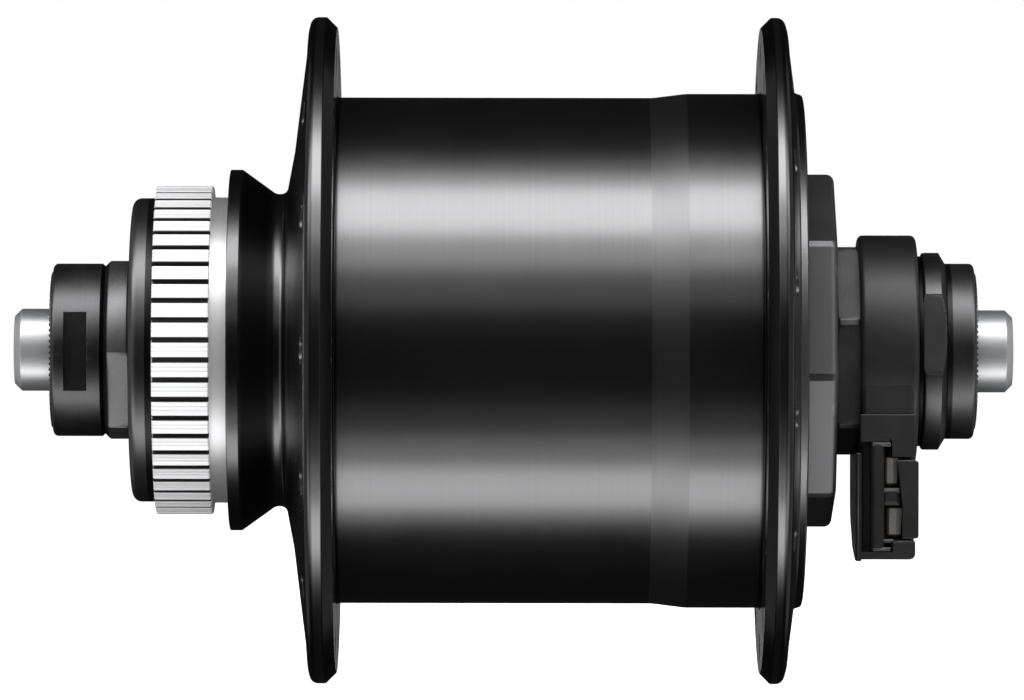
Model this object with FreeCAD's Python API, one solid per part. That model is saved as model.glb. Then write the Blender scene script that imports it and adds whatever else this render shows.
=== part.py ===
"""Dynamo front hub for a spoked bicycle wheel with a splined disc mount, in millimetres.

The axle lies along Y and +Y is the brake disc side. The origin is on the axle's centre line,
midway between the two lock-nut faces that clamp in the fork. +X is forward, +Z is up, and the
connector hangs down. A turned piece is a list of (y, radius) corners revolved about the axle.
"""
import FreeCAD
import Part
import math
import os

from FreeCAD import Vector

os.makedirs("parts", exist_ok=True)

# Clearances
running_gap = 0.30      # between a turning piece and a still one beside it
slide_gap = 0.05        # around the axle, and beside a magnet
bearing_play = 0.03     # between a ball and its race
air_gap = 0.50          # between the magnets and the claws
same_place = 1e-6       # two places closer than this are one

# Axle and fork
locknut_spacing = 100.0
axle_stub = 4.0
axle_end_dia = 8.9
axle_chamfer = 0.8
axle_thread_dia = 9.5
skewer_bore_dia = 5.2

# Brake-side lock nut
brake_nut_dia = 18.7
brake_nut_length = 5.4
brake_nut_flat_width = 2.6
brake_nut_flat_depth = 0.9
brake_nut_flat_inset = 1.4

# Connector-side lock nut
connector_nut_nose_dia = 18.6
connector_nut_nose_length = 3.2
connector_nut_taper = 0.7
connector_nut_flange_width = 1.2
connector_nut_flange_length = 2.0
connector_nut_flat_depth = 1.0
connector_nut_turn = 10.5
connector_washer_inset = 0.4
connector_washer_thickness = 0.6

# Bearings
ball_dia = 4.7625
balls_per_row = 10
ball_circle_dia = 18.0
ball_facets = 8
race_width = 3.2
brake_ball_depth = 4.1
connector_ball_depth = 2.2
cup_wall = 2.12
cup_mouth = 2.2
cone_neck_inset = 0.4
brake_cone_head_dia = 19.3
brake_cone_head_length = 3.1
brake_cone_flat_depth = 1.25
brake_cone_turn = 31.0
connector_cone_head_dia = 22.3
connector_cone_head_length = 2.3

# Dust cap and splined disc mount
dust_cap_inset = 1.45
dust_cap_thickness = 2.6
dust_cap_bevel = 0.8
spline_teeth = 52
spline_depth = 0.8
spline_ring_wall = 1.9
spline_gap_share = 0.24
spline_length = 6.1
spline_shoulder_step = 0.45
spline_shoulder_length = 1.75
spline_register = 0.5

# Hub shell
nose_wall = 1.6
disc_seat_width = 1.7
disc_seat_rim = 1.4
neck_wall = 3.5
neck_cone_length = 3.35
neck_length = 1.6
neck_sweep_length = 2.1
neck_sweep_width = 5.0
flange_dia = 72.2
flange_thickness = 3.2
flange_edge_bevel = 0.8
barrel_dia = 54.8
barrel_step = 0.45
barrel_slope_length = 3.6
barrel_wide_length = 8.1
shell_wall = 2.0
mouth_rim_length = 1.3
mouth_rim_step = 0.3
spoke_holes_per_flange = 14
spoke_edge_distance = 4.1
spoke_hole_dia = 2.6
spoke_hole_sides = 8

# Octagonal end cover
cover_spigot_length = 4.7
octagon_sides = 8
octagon_height = 3.4
octagon_corner_dia = 38.8
octagon_bevel = 0.7
octagon_turn = 8.4
cover_lip = 2.2

# Rotor
poles = 28
rotor_length = 36.0
rotor_shift = 1.7
back_ring_wall = 1.5
magnet_thickness = 2.2
magnet_length = 34.0
magnet_width = 4.6

# Stator
claw_sheet = 1.5
claw_root_width = 3.9
claw_tip_width = 2.3
claw_tip_gap = 1.5
claw_arm_length = 3.1
stator_length = 31.0
core_side = 12.4
bobbin_wall = 1.0
bobbin_gap = 1.6
coil_inset = 1.2
stator_nut_sides = 6
stator_nut_across_flats = 14.0
stator_nut_height = 4.0
lead_width = 1.2
lead_thickness = 0.7
lead_run_radius = 10.4
lead_bend_gap = 1.0

# Connector
block_length = 6.3
block_dia = 24.8
tower_half_depth = 8.0
tower_overhang = 0.7
tower_plate_overhang = 0.4
tower_height = 11.35
tower_corner_round = 2.0
tower_stem = 3.0
socket_floor = 2.2
socket_height = 9.2
socket_inner_wall = 1.7
socket_outer_wall = 0.6
socket_depth = 5.0
socket_bar_height = 1.8
socket_bar_setback = 1.0
blade_length = 3.3
blade_width = 1.5
blade_reach = 2.6

# Places that follow from the sizes above
axle_r = axle_thread_dia / 2
nut_bore_r = axle_r + slide_gap
end_y = locknut_spacing / 2
brake_nut_inner_y = end_y - brake_nut_length
ball_r = ball_dia / 2
pitch_r = ball_circle_dia / 2
cup_r = pitch_r + ball_r + cup_wall
cone_neck_r = pitch_r - cone_neck_inset
cover_bore_r = cone_neck_r + running_gap
nose_r = cup_r + nose_wall
spline_root_r = nose_r + spline_ring_wall
spline_r = spline_root_r + spline_depth
spline_shoulder_r = spline_root_r - spline_shoulder_step
dust_cap_end_y = brake_nut_inner_y - brake_cone_head_length - running_gap
spline_end_y = dust_cap_end_y - dust_cap_thickness
spline_start_y = spline_end_y - spline_length
disc_seat_y = spline_start_y - spline_shoulder_length
spline_foot_y = disc_seat_y - spline_register
disc_seat_rim_y = disc_seat_y - disc_seat_rim
neck_start_y = disc_seat_rim_y - neck_cone_length
neck_end_y = neck_start_y - neck_length
brake_flange_outer_y = neck_end_y - neck_sweep_length
brake_flange_inner_y = brake_flange_outer_y - flange_thickness
brake_ball_y = spline_end_y - brake_ball_depth
washer_outer_y = -end_y + connector_nut_nose_length + connector_nut_taper + connector_nut_flange_length
block_outer_y = washer_outer_y + connector_washer_thickness
block_inner_y = block_outer_y + block_length
cover_face_y = block_inner_y + connector_cone_head_length + running_gap
mouth_rim_y = cover_face_y + octagon_height
connector_flange_outer_y = mouth_rim_y + mouth_rim_length
connector_flange_inner_y = connector_flange_outer_y + flange_thickness
connector_ball_y = mouth_rim_y + connector_ball_depth
cover_inner_y = mouth_rim_y + cover_spigot_length
cover_lip_y = cover_face_y + cover_lip
barrel_bore_r = barrel_dia / 2 - shell_wall
barrel_slope_end_y = connector_flange_inner_y + barrel_wide_length
barrel_slope_start_y = barrel_slope_end_y + barrel_slope_length
shell_end_wall_y = brake_flange_inner_y - shell_wall
spoke_circle_r = flange_dia / 2 - spoke_edge_distance
rotor_centre_y = (shell_end_wall_y + cover_inner_y) / 2 + rotor_shift
connector_nut_flange_r = connector_nut_nose_dia / 2 + connector_nut_flange_width
magnet_seat = barrel_bore_r - back_ring_wall
magnet_inner_face = magnet_seat - magnet_thickness
stator_r = magnet_inner_face - air_gap
claw_outer_face = math.sqrt(stator_r**2 - (claw_root_width / 2) ** 2)
claw_inner_face = claw_outer_face - claw_sheet
bobbin_flange_r = claw_inner_face - bobbin_gap
coil_r = bobbin_flange_r - coil_inset
bobbin_barrel_half = core_side / 2 + slide_gap + bobbin_wall
stator_brake_y = rotor_centre_y + stator_length / 2
stator_connector_y = rotor_centre_y - stator_length / 2
winding_start_y = stator_connector_y + claw_sheet + bobbin_wall
winding_end_y = stator_brake_y - claw_sheet - bobbin_wall
lead_centre_r = axle_r - lead_thickness / 2
lead_bend_y = stator_connector_y - stator_nut_height - lead_bend_gap - lead_thickness
lead_end_y = block_inner_y - block_length / 2
tower_top_z = -max(connector_cone_head_dia / 2, connector_nut_flange_r) - running_gap
tower_bottom_z = tower_top_z - tower_height
socket_bottom_z = tower_bottom_z + socket_floor
socket_middle_z = socket_bottom_z + socket_height / 2
socket_back_x = socket_depth - tower_half_depth


def turned(corners):
    """Solid of the closed outline of (y, radius) corners, revolved about the axle."""
    points = [Vector(radius, y, 0) for y, radius in corners]
    outline = Part.Face(Part.makePolygon(points + points[:1]))
    solid = outline.revolve(Vector(0, 0, 0), Vector(0, 1, 0), 360)
    return solid if solid.Volume > 0 else solid.reversed()


def ring(y_low, y_high, inner_r, outer_r):
    """Plain ring about the axle between two places on it."""
    return turned([(y_low, inner_r), (y_low, outer_r), (y_high, outer_r), (y_high, inner_r)])


def cylinder(radius, y_low, y_high):
    """Round bar on the axle's centre line between two places on it."""
    return Part.makeCylinder(radius, y_high - y_low, Vector(0, y_low, 0), Vector(0, 1, 0))


def box(x_low, x_high, y_low, y_high, z_low, z_high):
    """Block between two corners."""
    return Part.makeBox(x_high - x_low, y_high - y_low, z_high - z_low, Vector(x_low, y_low, z_low))


def plate(points, y, thickness):
    """Flat plate square to the axle: an outline of (x, z) points carried along +Y."""
    corners = [Vector(x, y, z) for x, z in points]
    return Part.Face(Part.makePolygon(corners + corners[:1])).extrude(Vector(0, thickness, 0))


def around_axle(shape, degrees):
    """Copy of a shape turned about the axle."""
    copy = shape.copy()
    copy.rotate(Vector(0, 0, 0), Vector(0, 1, 0), degrees)
    return copy


def with_flats(solid, y_low, y_high, across, turn):
    """Solid with two opposite spanner flats between two places; the first faces -X turned down."""
    reach = 2 * across
    flat = box(-reach, -across / 2, y_low, y_high, -reach, reach)
    pair = [around_axle(flat, turn), around_axle(flat, turn + 180)]
    return solid.cut(pair)


def polygon_points(sides, inner_radius, turn):
    """Corners (x, z) of a regular polygon whose sides are inner_radius from the axle."""
    corner_r = inner_radius / math.cos(math.pi / sides)
    angles = [math.radians(turn) + 2 * math.pi * i / sides for i in range(sides)]
    return [(corner_r * math.cos(a), corner_r * math.sin(a)) for a in angles]


def axle():
    """Hollow axle: threaded between the fork's faces, plain stubs outside, a groove for the lead."""
    tip_y = end_y + axle_stub
    stub_r = axle_end_dia / 2
    outer = turned([
        (-tip_y, 0),
        (-tip_y, stub_r - axle_chamfer),
        (-tip_y + axle_chamfer, stub_r),
        (-end_y, stub_r),
        (-end_y, axle_r),
        (end_y, axle_r),
        (end_y, stub_r),
        (tip_y - axle_chamfer, stub_r),
        (tip_y, stub_r - axle_chamfer),
        (tip_y, 0),
    ])
    bore = cylinder(skewer_bore_dia / 2, -tip_y, tip_y)
    half_groove = lead_width / 2 + slide_gap
    floor_z = -(axle_r - lead_thickness - slide_gap)
    groove = box(
        -half_groove, half_groove, lead_end_y, lead_bend_y + lead_thickness, -axle_thread_dia, floor_z
    )
    return outer.cut([bore, groove])


def brake_side_lock_nut():
    """Round lock nut with two short milled flats set in from its outer face."""
    nut = turned([
        (end_y, nut_bore_r),
        (end_y, brake_nut_dia / 2),
        (brake_nut_inner_y, brake_nut_dia / 2),
        (brake_nut_inner_y, nut_bore_r),
    ])
    flat_high = end_y - brake_nut_flat_inset
    across = brake_nut_dia - 2 * brake_nut_flat_depth
    return with_flats(nut, flat_high - brake_nut_flat_width, flat_high, across, 0)


def connector_side_lock_nut():
    """Lock nut with a flatted flange, a taper and a round nose against the fork."""
    nose_start_y = -end_y + connector_nut_nose_length
    taper_y = nose_start_y + connector_nut_taper
    flange_y = taper_y + connector_nut_flange_length
    nut = turned([
        (-end_y, nut_bore_r),
        (-end_y, connector_nut_nose_dia / 2),
        (nose_start_y, connector_nut_nose_dia / 2),
        (taper_y, connector_nut_flange_r),
        (flange_y, connector_nut_flange_r),
        (flange_y, nut_bore_r),
    ])
    across = 2 * (connector_nut_flange_r - connector_nut_flat_depth)
    return with_flats(nut, nose_start_y, flange_y, across, connector_nut_turn)


def connector_washer():
    """Thin washer between the connector block and its lock nut."""
    outer_r = connector_nut_nose_dia / 2 - connector_washer_inset
    return ring(washer_outer_y, block_outer_y, nut_bore_r, outer_r)


def race_points(ball_y, side, out):
    """Two ends (y, radius) of a 45 degree race that lies one ball radius from the ball's centre.

    side is +1 on the brake side and -1 on the connector side. out is +1 for the cup, outside the
    ball and towards the hub's middle, and -1 for the cone, inside it and towards the hub's end.
    """
    step = (ball_r + bearing_play) / math.sqrt(2)
    half = race_width / 2 / math.sqrt(2)
    y = ball_y - side * out * step
    radius = pitch_r + out * step
    return [(y - side * half, radius - half), (y + side * half, radius + half)]


def bearing_cup(ball_y, side):
    """Pressed cup whose race faces out along the axle and in towards it."""
    low, high = race_points(ball_y, side, 1)
    mouth_y = ball_y + side * cup_mouth
    return turned([low, high, (mouth_y, high[1]), (mouth_y, cup_r), (low[0], cup_r)])


def bearing_cone(ball_y, side, head_inner_y, head_outer_y, head_dia):
    """Cone with its race, a neck through the seal and a head outside it."""
    low, high = race_points(ball_y, side, -1)
    neck_y = high[0] + side * (cone_neck_r - high[1])
    return turned([
        (low[0], nut_bore_r),
        low,
        (neck_y, cone_neck_r),
        (head_inner_y, cone_neck_r),
        (head_inner_y, head_dia / 2),
        (head_outer_y, head_dia / 2),
        (head_outer_y, nut_bore_r),
    ])


def brake_side_cone():
    """Brake-side cone; its head carries two flats for a thin cone spanner."""
    head_inner_y = brake_nut_inner_y - brake_cone_head_length
    cone = bearing_cone(brake_ball_y, 1, head_inner_y, brake_nut_inner_y, brake_cone_head_dia)
    across = brake_cone_head_dia - 2 * brake_cone_flat_depth
    return with_flats(cone, head_inner_y, brake_nut_inner_y, across, -brake_cone_turn)


def connector_side_cone():
    """Connector-side cone, whose round head stands between the end cover and the block."""
    head_inner_y = cover_face_y - running_gap
    return bearing_cone(connector_ball_y, -1, head_inner_y, block_inner_y, connector_cone_head_dia)


def ball(centre):
    """Ball cut as a gem is: eight-sided bands and caps of flat facets, every corner on the sphere."""
    half_step = math.pi / ball_facets
    latitudes = [-math.pi / 2 + half_step * (2 * i + 1) for i in range(ball_facets // 2)]
    rings = [
        [
            centre + ball_r * Vector(math.cos(lat) * math.cos(t), math.cos(lat) * math.sin(t), math.sin(lat))
            for t in [2 * half_step * i for i in range(ball_facets)]
        ]
        for lat in latitudes
    ]
    outlines = [rings[0], rings[-1]]
    for low, high in zip(rings, rings[1:]):
        for i in range(ball_facets):
            j = (i + 1) % ball_facets
            outlines.append([low[i], low[j], high[j], high[i]])
    facets = [Part.Face(Part.makePolygon(points + points[:1])) for points in outlines]
    return Part.makeSolid(Part.makeShell(facets))


def ball_row(ball_y):
    """One row of loose balls, evenly spaced round the axle."""
    first = ball(Vector(pitch_r, ball_y, 0))
    return Part.makeCompound([around_axle(first, 360 * i / balls_per_row) for i in range(balls_per_row)])


def dust_cap():
    """Round cap that closes the brake-side bearing, with a bevelled outer corner."""
    cap_r = spline_r - dust_cap_inset
    return turned([
        (spline_end_y, cover_bore_r),
        (spline_end_y, cap_r),
        (dust_cap_end_y - dust_cap_bevel, cap_r),
        (dust_cap_end_y, cap_r - dust_cap_bevel),
        (dust_cap_end_y, cover_bore_r),
    ])


def disc_spline_ring():
    """Splined ring that carries the brake disc: a plain shoulder, then teeth with slots between."""
    sleeve = turned([
        (spline_foot_y, nose_r),
        (spline_foot_y, spline_shoulder_r),
        (spline_start_y, spline_shoulder_r),
        (spline_start_y, spline_r),
        (spline_end_y, spline_r),
        (spline_end_y, nose_r),
    ])
    half_gap = math.pi * spline_r / spline_teeth * spline_gap_share
    slot = box(spline_root_r, 2 * spline_r, spline_start_y, spline_end_y, -half_gap, half_gap)
    step = 360 / spline_teeth
    return sleeve.cut([around_axle(slot, (i + 0.5) * step) for i in range(spline_teeth)])


def spoke_drills(y_low, y_high, first_turn):
    """One flange's ring of drills, each a prism whose sides touch the round hole."""
    corners = polygon_points(spoke_hole_sides, spoke_hole_dia / 2, 0)
    drill = plate([(spoke_circle_r + x, z) for x, z in corners], y_low, y_high - y_low)
    step = 360 / spoke_holes_per_flange
    return [around_axle(drill, first_turn + i * step) for i in range(spoke_holes_per_flange)]


def hub_shell():
    """One-piece shell: nose, disc seat, waisted neck, two spoke flanges and the wide barrel."""
    rim_r = flange_dia / 2
    bevel = flange_edge_bevel
    seat_r = spline_r + disc_seat_width
    neck_r = cup_r + neck_wall
    barrel_r = barrel_dia / 2
    mouth_rim_r = barrel_r + mouth_rim_step
    shell = turned([
        (spline_end_y, cup_r),
        (spline_end_y, nose_r),
        (spline_foot_y, nose_r),
        (spline_foot_y, spline_shoulder_r),
        (disc_seat_y, spline_shoulder_r),
        (disc_seat_y, seat_r),
        (disc_seat_rim_y, seat_r),
        (neck_start_y, neck_r),
        (neck_end_y, neck_r),
        (brake_flange_outer_y, neck_r + neck_sweep_width),
        (brake_flange_outer_y, rim_r - bevel),
        (brake_flange_outer_y - bevel, rim_r),
        (brake_flange_inner_y, rim_r),
        (brake_flange_inner_y, barrel_r),
        (barrel_slope_start_y, barrel_r),
        (barrel_slope_end_y, barrel_r + barrel_step),
        (connector_flange_inner_y, barrel_r + barrel_step),
        (connector_flange_inner_y, rim_r),
        (connector_flange_outer_y + bevel, rim_r),
        (connector_flange_outer_y, rim_r - bevel),
        (connector_flange_outer_y, mouth_rim_r),
        (mouth_rim_y, mouth_rim_r),
        (mouth_rim_y, barrel_bore_r),
        (shell_end_wall_y, barrel_bore_r),
        (shell_end_wall_y, cup_r),
    ])
    half_step = 180 / spoke_holes_per_flange
    drills = spoke_drills(brake_flange_inner_y, brake_flange_outer_y, 0)
    drills += spoke_drills(connector_flange_outer_y, connector_flange_inner_y, half_step)
    return shell.cut(drills)


def end_cover():
    """Screwed-in cover with an octagon for a spanner; it holds the connector-side cup."""
    spigot = cylinder(barrel_bore_r, mouth_rim_y, cover_inner_y)
    side_r = octagon_corner_dia / 2 * math.cos(math.pi / octagon_sides)
    octagon = plate(polygon_points(octagon_sides, side_r, octagon_turn), cover_face_y, octagon_height)
    face_edges = [e for e in octagon.Edges if all(abs(v.Y - cover_face_y) < same_place for v in e.Vertexes)]
    octagon = octagon.makeChamfer(octagon_bevel, face_edges)
    pocket = cylinder(cup_r, cover_lip_y, cover_inner_y)
    mouth = cylinder(cover_bore_r, cover_face_y, cover_lip_y)
    return spigot.fuse(octagon).cut([pocket, mouth])


def magnet_back_ring():
    """Steel ring in the barrel that closes the magnets' field, with a flat inside for each magnet."""
    low_y = rotor_centre_y - rotor_length / 2
    outer = cylinder(barrel_bore_r, low_y, low_y + rotor_length)
    return outer.cut(plate(polygon_points(poles, magnet_seat, 0), low_y, rotor_length))


def rotor_magnets():
    """Flat bar magnets, one a pole, standing round the inside of the back ring."""
    half_length = magnet_length / 2
    half_width = magnet_width / 2
    bar = box(
        magnet_inner_face, magnet_seat,
        rotor_centre_y - half_length, rotor_centre_y + half_length,
        -half_width, half_width,
    )
    return Part.makeCompound([around_axle(bar, 360 * (i + 0.5) / poles) for i in range(poles)])


def stator_bore():
    """Hole for the axle through the whole stator."""
    return cylinder(nut_bore_r, stator_connector_y, stator_brake_y)


def claw_yoke(base_y, towards, turn):
    """Stamped yoke: a star of arms square to the axle, each bent into a tapering claw.

    base_y is the plate's outer face, and towards is the way along Y that the claws point.
    """
    claws = poles // 2
    arm_root = claw_inner_face - claw_arm_length
    half_root = claw_root_width / 2
    half_tip = claw_tip_width / 2
    star = []
    for i in range(claws):
        turn_i = 2 * math.pi * i / claws
        for radial, side in ((arm_root, -half_root), (claw_outer_face, -half_root),
                             (claw_outer_face, half_root), (arm_root, half_root)):
            star.append((
                radial * math.cos(turn_i) - side * math.sin(turn_i),
                radial * math.sin(turn_i) + side * math.cos(turn_i),
            ))
    base = plate(star, base_y, towards * claw_sheet)
    tip_y = base_y + towards * (stator_length - claw_sheet - claw_tip_gap)
    outline = [
        Vector(claw_inner_face, base_y, -half_root),
        Vector(claw_inner_face, tip_y, -half_tip),
        Vector(claw_inner_face, tip_y, half_tip),
        Vector(claw_inner_face, base_y, half_root),
    ]
    claw = Part.Face(Part.makePolygon(outline + outline[:1])).extrude(Vector(claw_sheet, 0, 0))
    yoke = base.fuse([around_axle(claw, -360 * i / claws) for i in range(claws)])
    return around_axle(yoke.cut(stator_bore()), turn)


def brake_side_claw_yoke():
    """Yoke whose claws point at the connector side."""
    return claw_yoke(stator_brake_y, -1, 0)


def connector_side_claw_yoke():
    """Yoke whose claws point at the brake side, half a claw pitch on, notched for the lead."""
    yoke = claw_yoke(stator_connector_y, 1, 360 / poles)
    return yoke.cut(lead_passage())


def stator_core():
    """Square laminated core on the axle, between the two yokes."""
    half = core_side / 2
    block = box(-half, half, stator_connector_y + claw_sheet, stator_brake_y - claw_sheet, -half, half)
    return block.cut(stator_bore())


def coil_bobbin():
    """Moulded bobbin: a square barrel on the core, with end flanges that have a side a claw."""
    low_y = winding_start_y - bobbin_wall
    high_y = winding_end_y + bobbin_wall
    flange = polygon_points(poles // 2, bobbin_flange_r, 0)
    outer = bobbin_barrel_half
    barrel = box(-outer, outer, low_y, high_y, -outer, outer)
    spool = barrel.fuse([plate(flange, low_y, bobbin_wall), plate(flange, winding_end_y, bobbin_wall)])
    inner = bobbin_barrel_half - bobbin_wall
    return spool.cut([box(-inner, inner, low_y, high_y, -inner, inner), lead_passage()])


def coil_winding():
    """Copper winding that fills the bobbin between its flanges."""
    outer = cylinder(coil_r, winding_start_y, winding_end_y)
    half = bobbin_barrel_half
    return outer.cut(box(-half, half, winding_start_y, winding_end_y, -half, half))


def stator_nuts():
    """Two hexagon nuts that clamp the stator on the axle."""
    corners = polygon_points(stator_nut_sides, stator_nut_across_flats / 2, 0)
    nuts = []
    for y in (stator_brake_y, stator_connector_y - stator_nut_height):
        hexagon = plate(corners, y, stator_nut_height)
        nuts.append(hexagon.cut(cylinder(nut_bore_r, y, y + stator_nut_height)))
    return Part.makeCompound(nuts)


def lead_passage():
    """Slot for the lead through the connector-side yoke and bobbin flange."""
    half = lead_width / 2 + slide_gap
    half_thick = lead_thickness / 2 + slide_gap
    return box(
        -half, half, stator_connector_y, winding_start_y,
        -lead_run_radius - half_thick, -lead_run_radius + half_thick,
    )


def stator_lead():
    """Flat insulated lead: out of the winding, down past the nut, then along the axle's groove."""
    half = lead_width / 2
    half_thick = lead_thickness / 2
    bend_high = lead_bend_y + lead_thickness
    out_run = box(
        -half, half, lead_bend_y, winding_start_y,
        -lead_run_radius - half_thick, -lead_run_radius + half_thick,
    )
    drop = box(-half, half, lead_bend_y, bend_high, -lead_run_radius, -lead_centre_r)
    groove_run = box(
        -half, half, lead_end_y, bend_high, -lead_centre_r - half_thick, -lead_centre_r + half_thick
    )
    return out_run.fuse([drop, groove_run]).removeSplitter()


def connector_block():
    """Moulded block: a round hub on the axle, and a tower below it with an open socket in front."""
    hub = ring(block_outer_y, block_inner_y, nut_bore_r, block_dia / 2)
    half = tower_half_depth
    stem = box(-half, half, block_outer_y, block_inner_y, tower_top_z, tower_top_z + tower_stem)
    tower = box(
        -half, half,
        block_outer_y - tower_plate_overhang, block_inner_y + tower_overhang,
        tower_bottom_z, tower_top_z,
    )
    bottom_edges = [
        e for e in tower.Edges
        if all(abs(v.Z - tower_bottom_z) < same_place for v in e.Vertexes)
        and abs(e.Vertexes[0].Y - e.Vertexes[1].Y) < same_place
    ]
    tower = tower.makeFillet(tower_corner_round, bottom_edges)
    outer_y = block_outer_y + socket_outer_wall
    inner_y = block_inner_y - socket_inner_wall
    socket = box(-half, socket_back_x, outer_y, inner_y, socket_bottom_z, socket_bottom_z + socket_height)
    half_bar = socket_bar_height / 2
    bar = box(
        -half + socket_bar_setback, socket_back_x, outer_y, inner_y,
        socket_middle_z - half_bar, socket_middle_z + half_bar,
    )
    return hub.fuse([stem, tower]).cut(socket).fuse(bar).removeSplitter()


def terminal_blade(side):
    """Bare contact blade in the middle of the upper (+1) or lower (-1) half of the socket."""
    y = (block_inner_y + block_outer_y) / 2
    z = socket_middle_z + side * (socket_height + socket_bar_height) / 4
    half_width = blade_width / 2
    half_length = blade_length / 2
    return box(
        socket_back_x - blade_reach, socket_back_x,
        y - half_width, y + half_width,
        z - half_length, z + half_length,
    )


def write(node, shape):
    """One STEP file for one node."""
    shape.exportStep("parts/" + node + ".step")


write("axle", axle())
write("brake_side_lock_nut", brake_side_lock_nut())
write("connector_side_lock_nut", connector_side_lock_nut())
write("connector_washer", connector_washer())
write("brake_side_cone", brake_side_cone())
write("connector_side_cone", connector_side_cone())
write("connector_block", connector_block())
write("upper_terminal_blade", terminal_blade(1))
write("lower_terminal_blade", terminal_blade(-1))
write("stator_core", stator_core())
write("brake_side_claw_yoke", brake_side_claw_yoke())
write("connector_side_claw_yoke", connector_side_claw_yoke())
write("coil_bobbin", coil_bobbin())
write("coil_winding", coil_winding())
write("stator_nuts", stator_nuts())
write("stator_lead", stator_lead())
write("hub_shell", hub_shell())
write("disc_spline_ring", disc_spline_ring())
write("dust_cap", dust_cap())
write("end_cover", end_cover())
write("brake_side_cup", bearing_cup(brake_ball_y, 1))
write("connector_side_cup", bearing_cup(connector_ball_y, -1))
write("magnet_back_ring", magnet_back_ring())
write("rotor_magnets", rotor_magnets())
write("brake_side_balls", ball_row(brake_ball_y))
write("connector_side_balls", ball_row(connector_ball_y))
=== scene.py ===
"""Looks of the dynamo front hub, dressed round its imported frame.

The frame gives every place: the axle lies along Y with the brake disc side at +Y, +X is forward, +Z is up.
Sizes are in millimetres and become metres when a surface is put into a mesh. Angles round the axle
are measured from the camera's side (-X), positive upwards.
"""

import logging
import math
from collections.abc import Sequence
from dataclasses import dataclass, replace
from enum import Enum

import bmesh
import bpy
import numpy as np
from mathutils import Matrix, Vector


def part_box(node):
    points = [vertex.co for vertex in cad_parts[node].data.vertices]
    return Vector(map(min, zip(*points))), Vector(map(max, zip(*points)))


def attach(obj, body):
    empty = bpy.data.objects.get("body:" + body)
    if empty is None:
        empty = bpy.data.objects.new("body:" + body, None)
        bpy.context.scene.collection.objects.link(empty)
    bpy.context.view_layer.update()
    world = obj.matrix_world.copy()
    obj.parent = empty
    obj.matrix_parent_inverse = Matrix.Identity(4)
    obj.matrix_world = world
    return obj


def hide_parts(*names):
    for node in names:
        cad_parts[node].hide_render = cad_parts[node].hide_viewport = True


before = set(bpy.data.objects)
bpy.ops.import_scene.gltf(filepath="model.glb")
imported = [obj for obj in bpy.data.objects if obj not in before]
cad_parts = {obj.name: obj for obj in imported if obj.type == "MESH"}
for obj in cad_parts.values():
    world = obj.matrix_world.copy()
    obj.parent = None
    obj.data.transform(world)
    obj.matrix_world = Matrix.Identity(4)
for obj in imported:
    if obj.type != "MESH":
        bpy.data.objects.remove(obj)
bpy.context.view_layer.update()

Array = np.ndarray
Socket = bpy.types.NodeSocket
Inputs = dict[str | int, object]
Colour = tuple[float, float, float]
Span = tuple[float, float]
Corners = Sequence[tuple[float, float, float]]
Outline = Array | Sequence[Span]

MM = 0.001
TURN = 2 * math.pi
TINY = 1e-6
# Distance in metres at which meeting points become one.
MERGE_DISTANCE = 2e-7
# Angle between two faces above which their edge is sharp.
SHARP_ANGLE = math.radians(32)
# Place of a flat, from the axle, in a row that has none.
ROUND = math.inf
# How near a point lies to a boundary that it counts as on, in millimetres.
TOUCH = 0.01
# Degrees between the close angles at the edge of a flat.
EDGE_STEP = 0.25
# Radius of the corners of an inset whose bevel is wider than its corners.
SMALLEST_CORNER = 0.05

# Sizes that more than one piece has, in millimetres.
THREAD_BORE = 4.8
BORE_ROUND = 0.1
BRAKE_GROOVE = 44.14
CUP_SEAT = 13.5
SEAL_OPENING = 8.9
COVER_SPIGOT = 25.4
MOUNT_FOOT = 30.25
MOUNT_BORE = 15.1
MOUNT_SHOULDER = 16.55

# Settings of the patterns that all finishes share, by the input's name.
NOISE_RANGE = (0.3, 0.7)
CLOUD = {"Scale": 140.0, "Detail": 4.0, "Roughness": 0.6}
CLOUD_SHARE = 0.55
RINGS = {"Detail": 3.0, "Roughness": 0.7}
BANDS = {"Distortion": 0.4, "Detail": 1.0}
SOFT_SPECKS = {"Detail": 2.0, "Roughness": 0.65}
CRISP_SPECKS = {"Detail": 6.0, "Roughness": 0.65}
BUMP_STRENGTH = 0.6
WORN_EDGE = (0.53, 0.60)
LEAST_WORN = 0.2
WHITE = (1.0, 1.0, 1.0, 1.0)
BLACK = (0.0, 0.0, 0.0, 1.0)
BARE_METAL = (0.35, 0.35, 0.36, 1.0)

log = logging.getLogger("front_hub")


class Body(Enum):
    """The rigid bodies of the frame."""

    AXLE = "axle_assembly"
    SHELL = "hub_shell_assembly"
    BRAKE_BALLS = "brake_side_ball_set"
    CONNECTOR_BALLS = "connector_side_ball_set"


class Grain(Enum):
    """How a surface was made, which decides the fine pattern on it."""

    TURNED = "turned"
    MOULDED = "moulded"
    BLASTED = "blasted"
    STAMPED = "stamped"
    WOUND = "wound"


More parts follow.
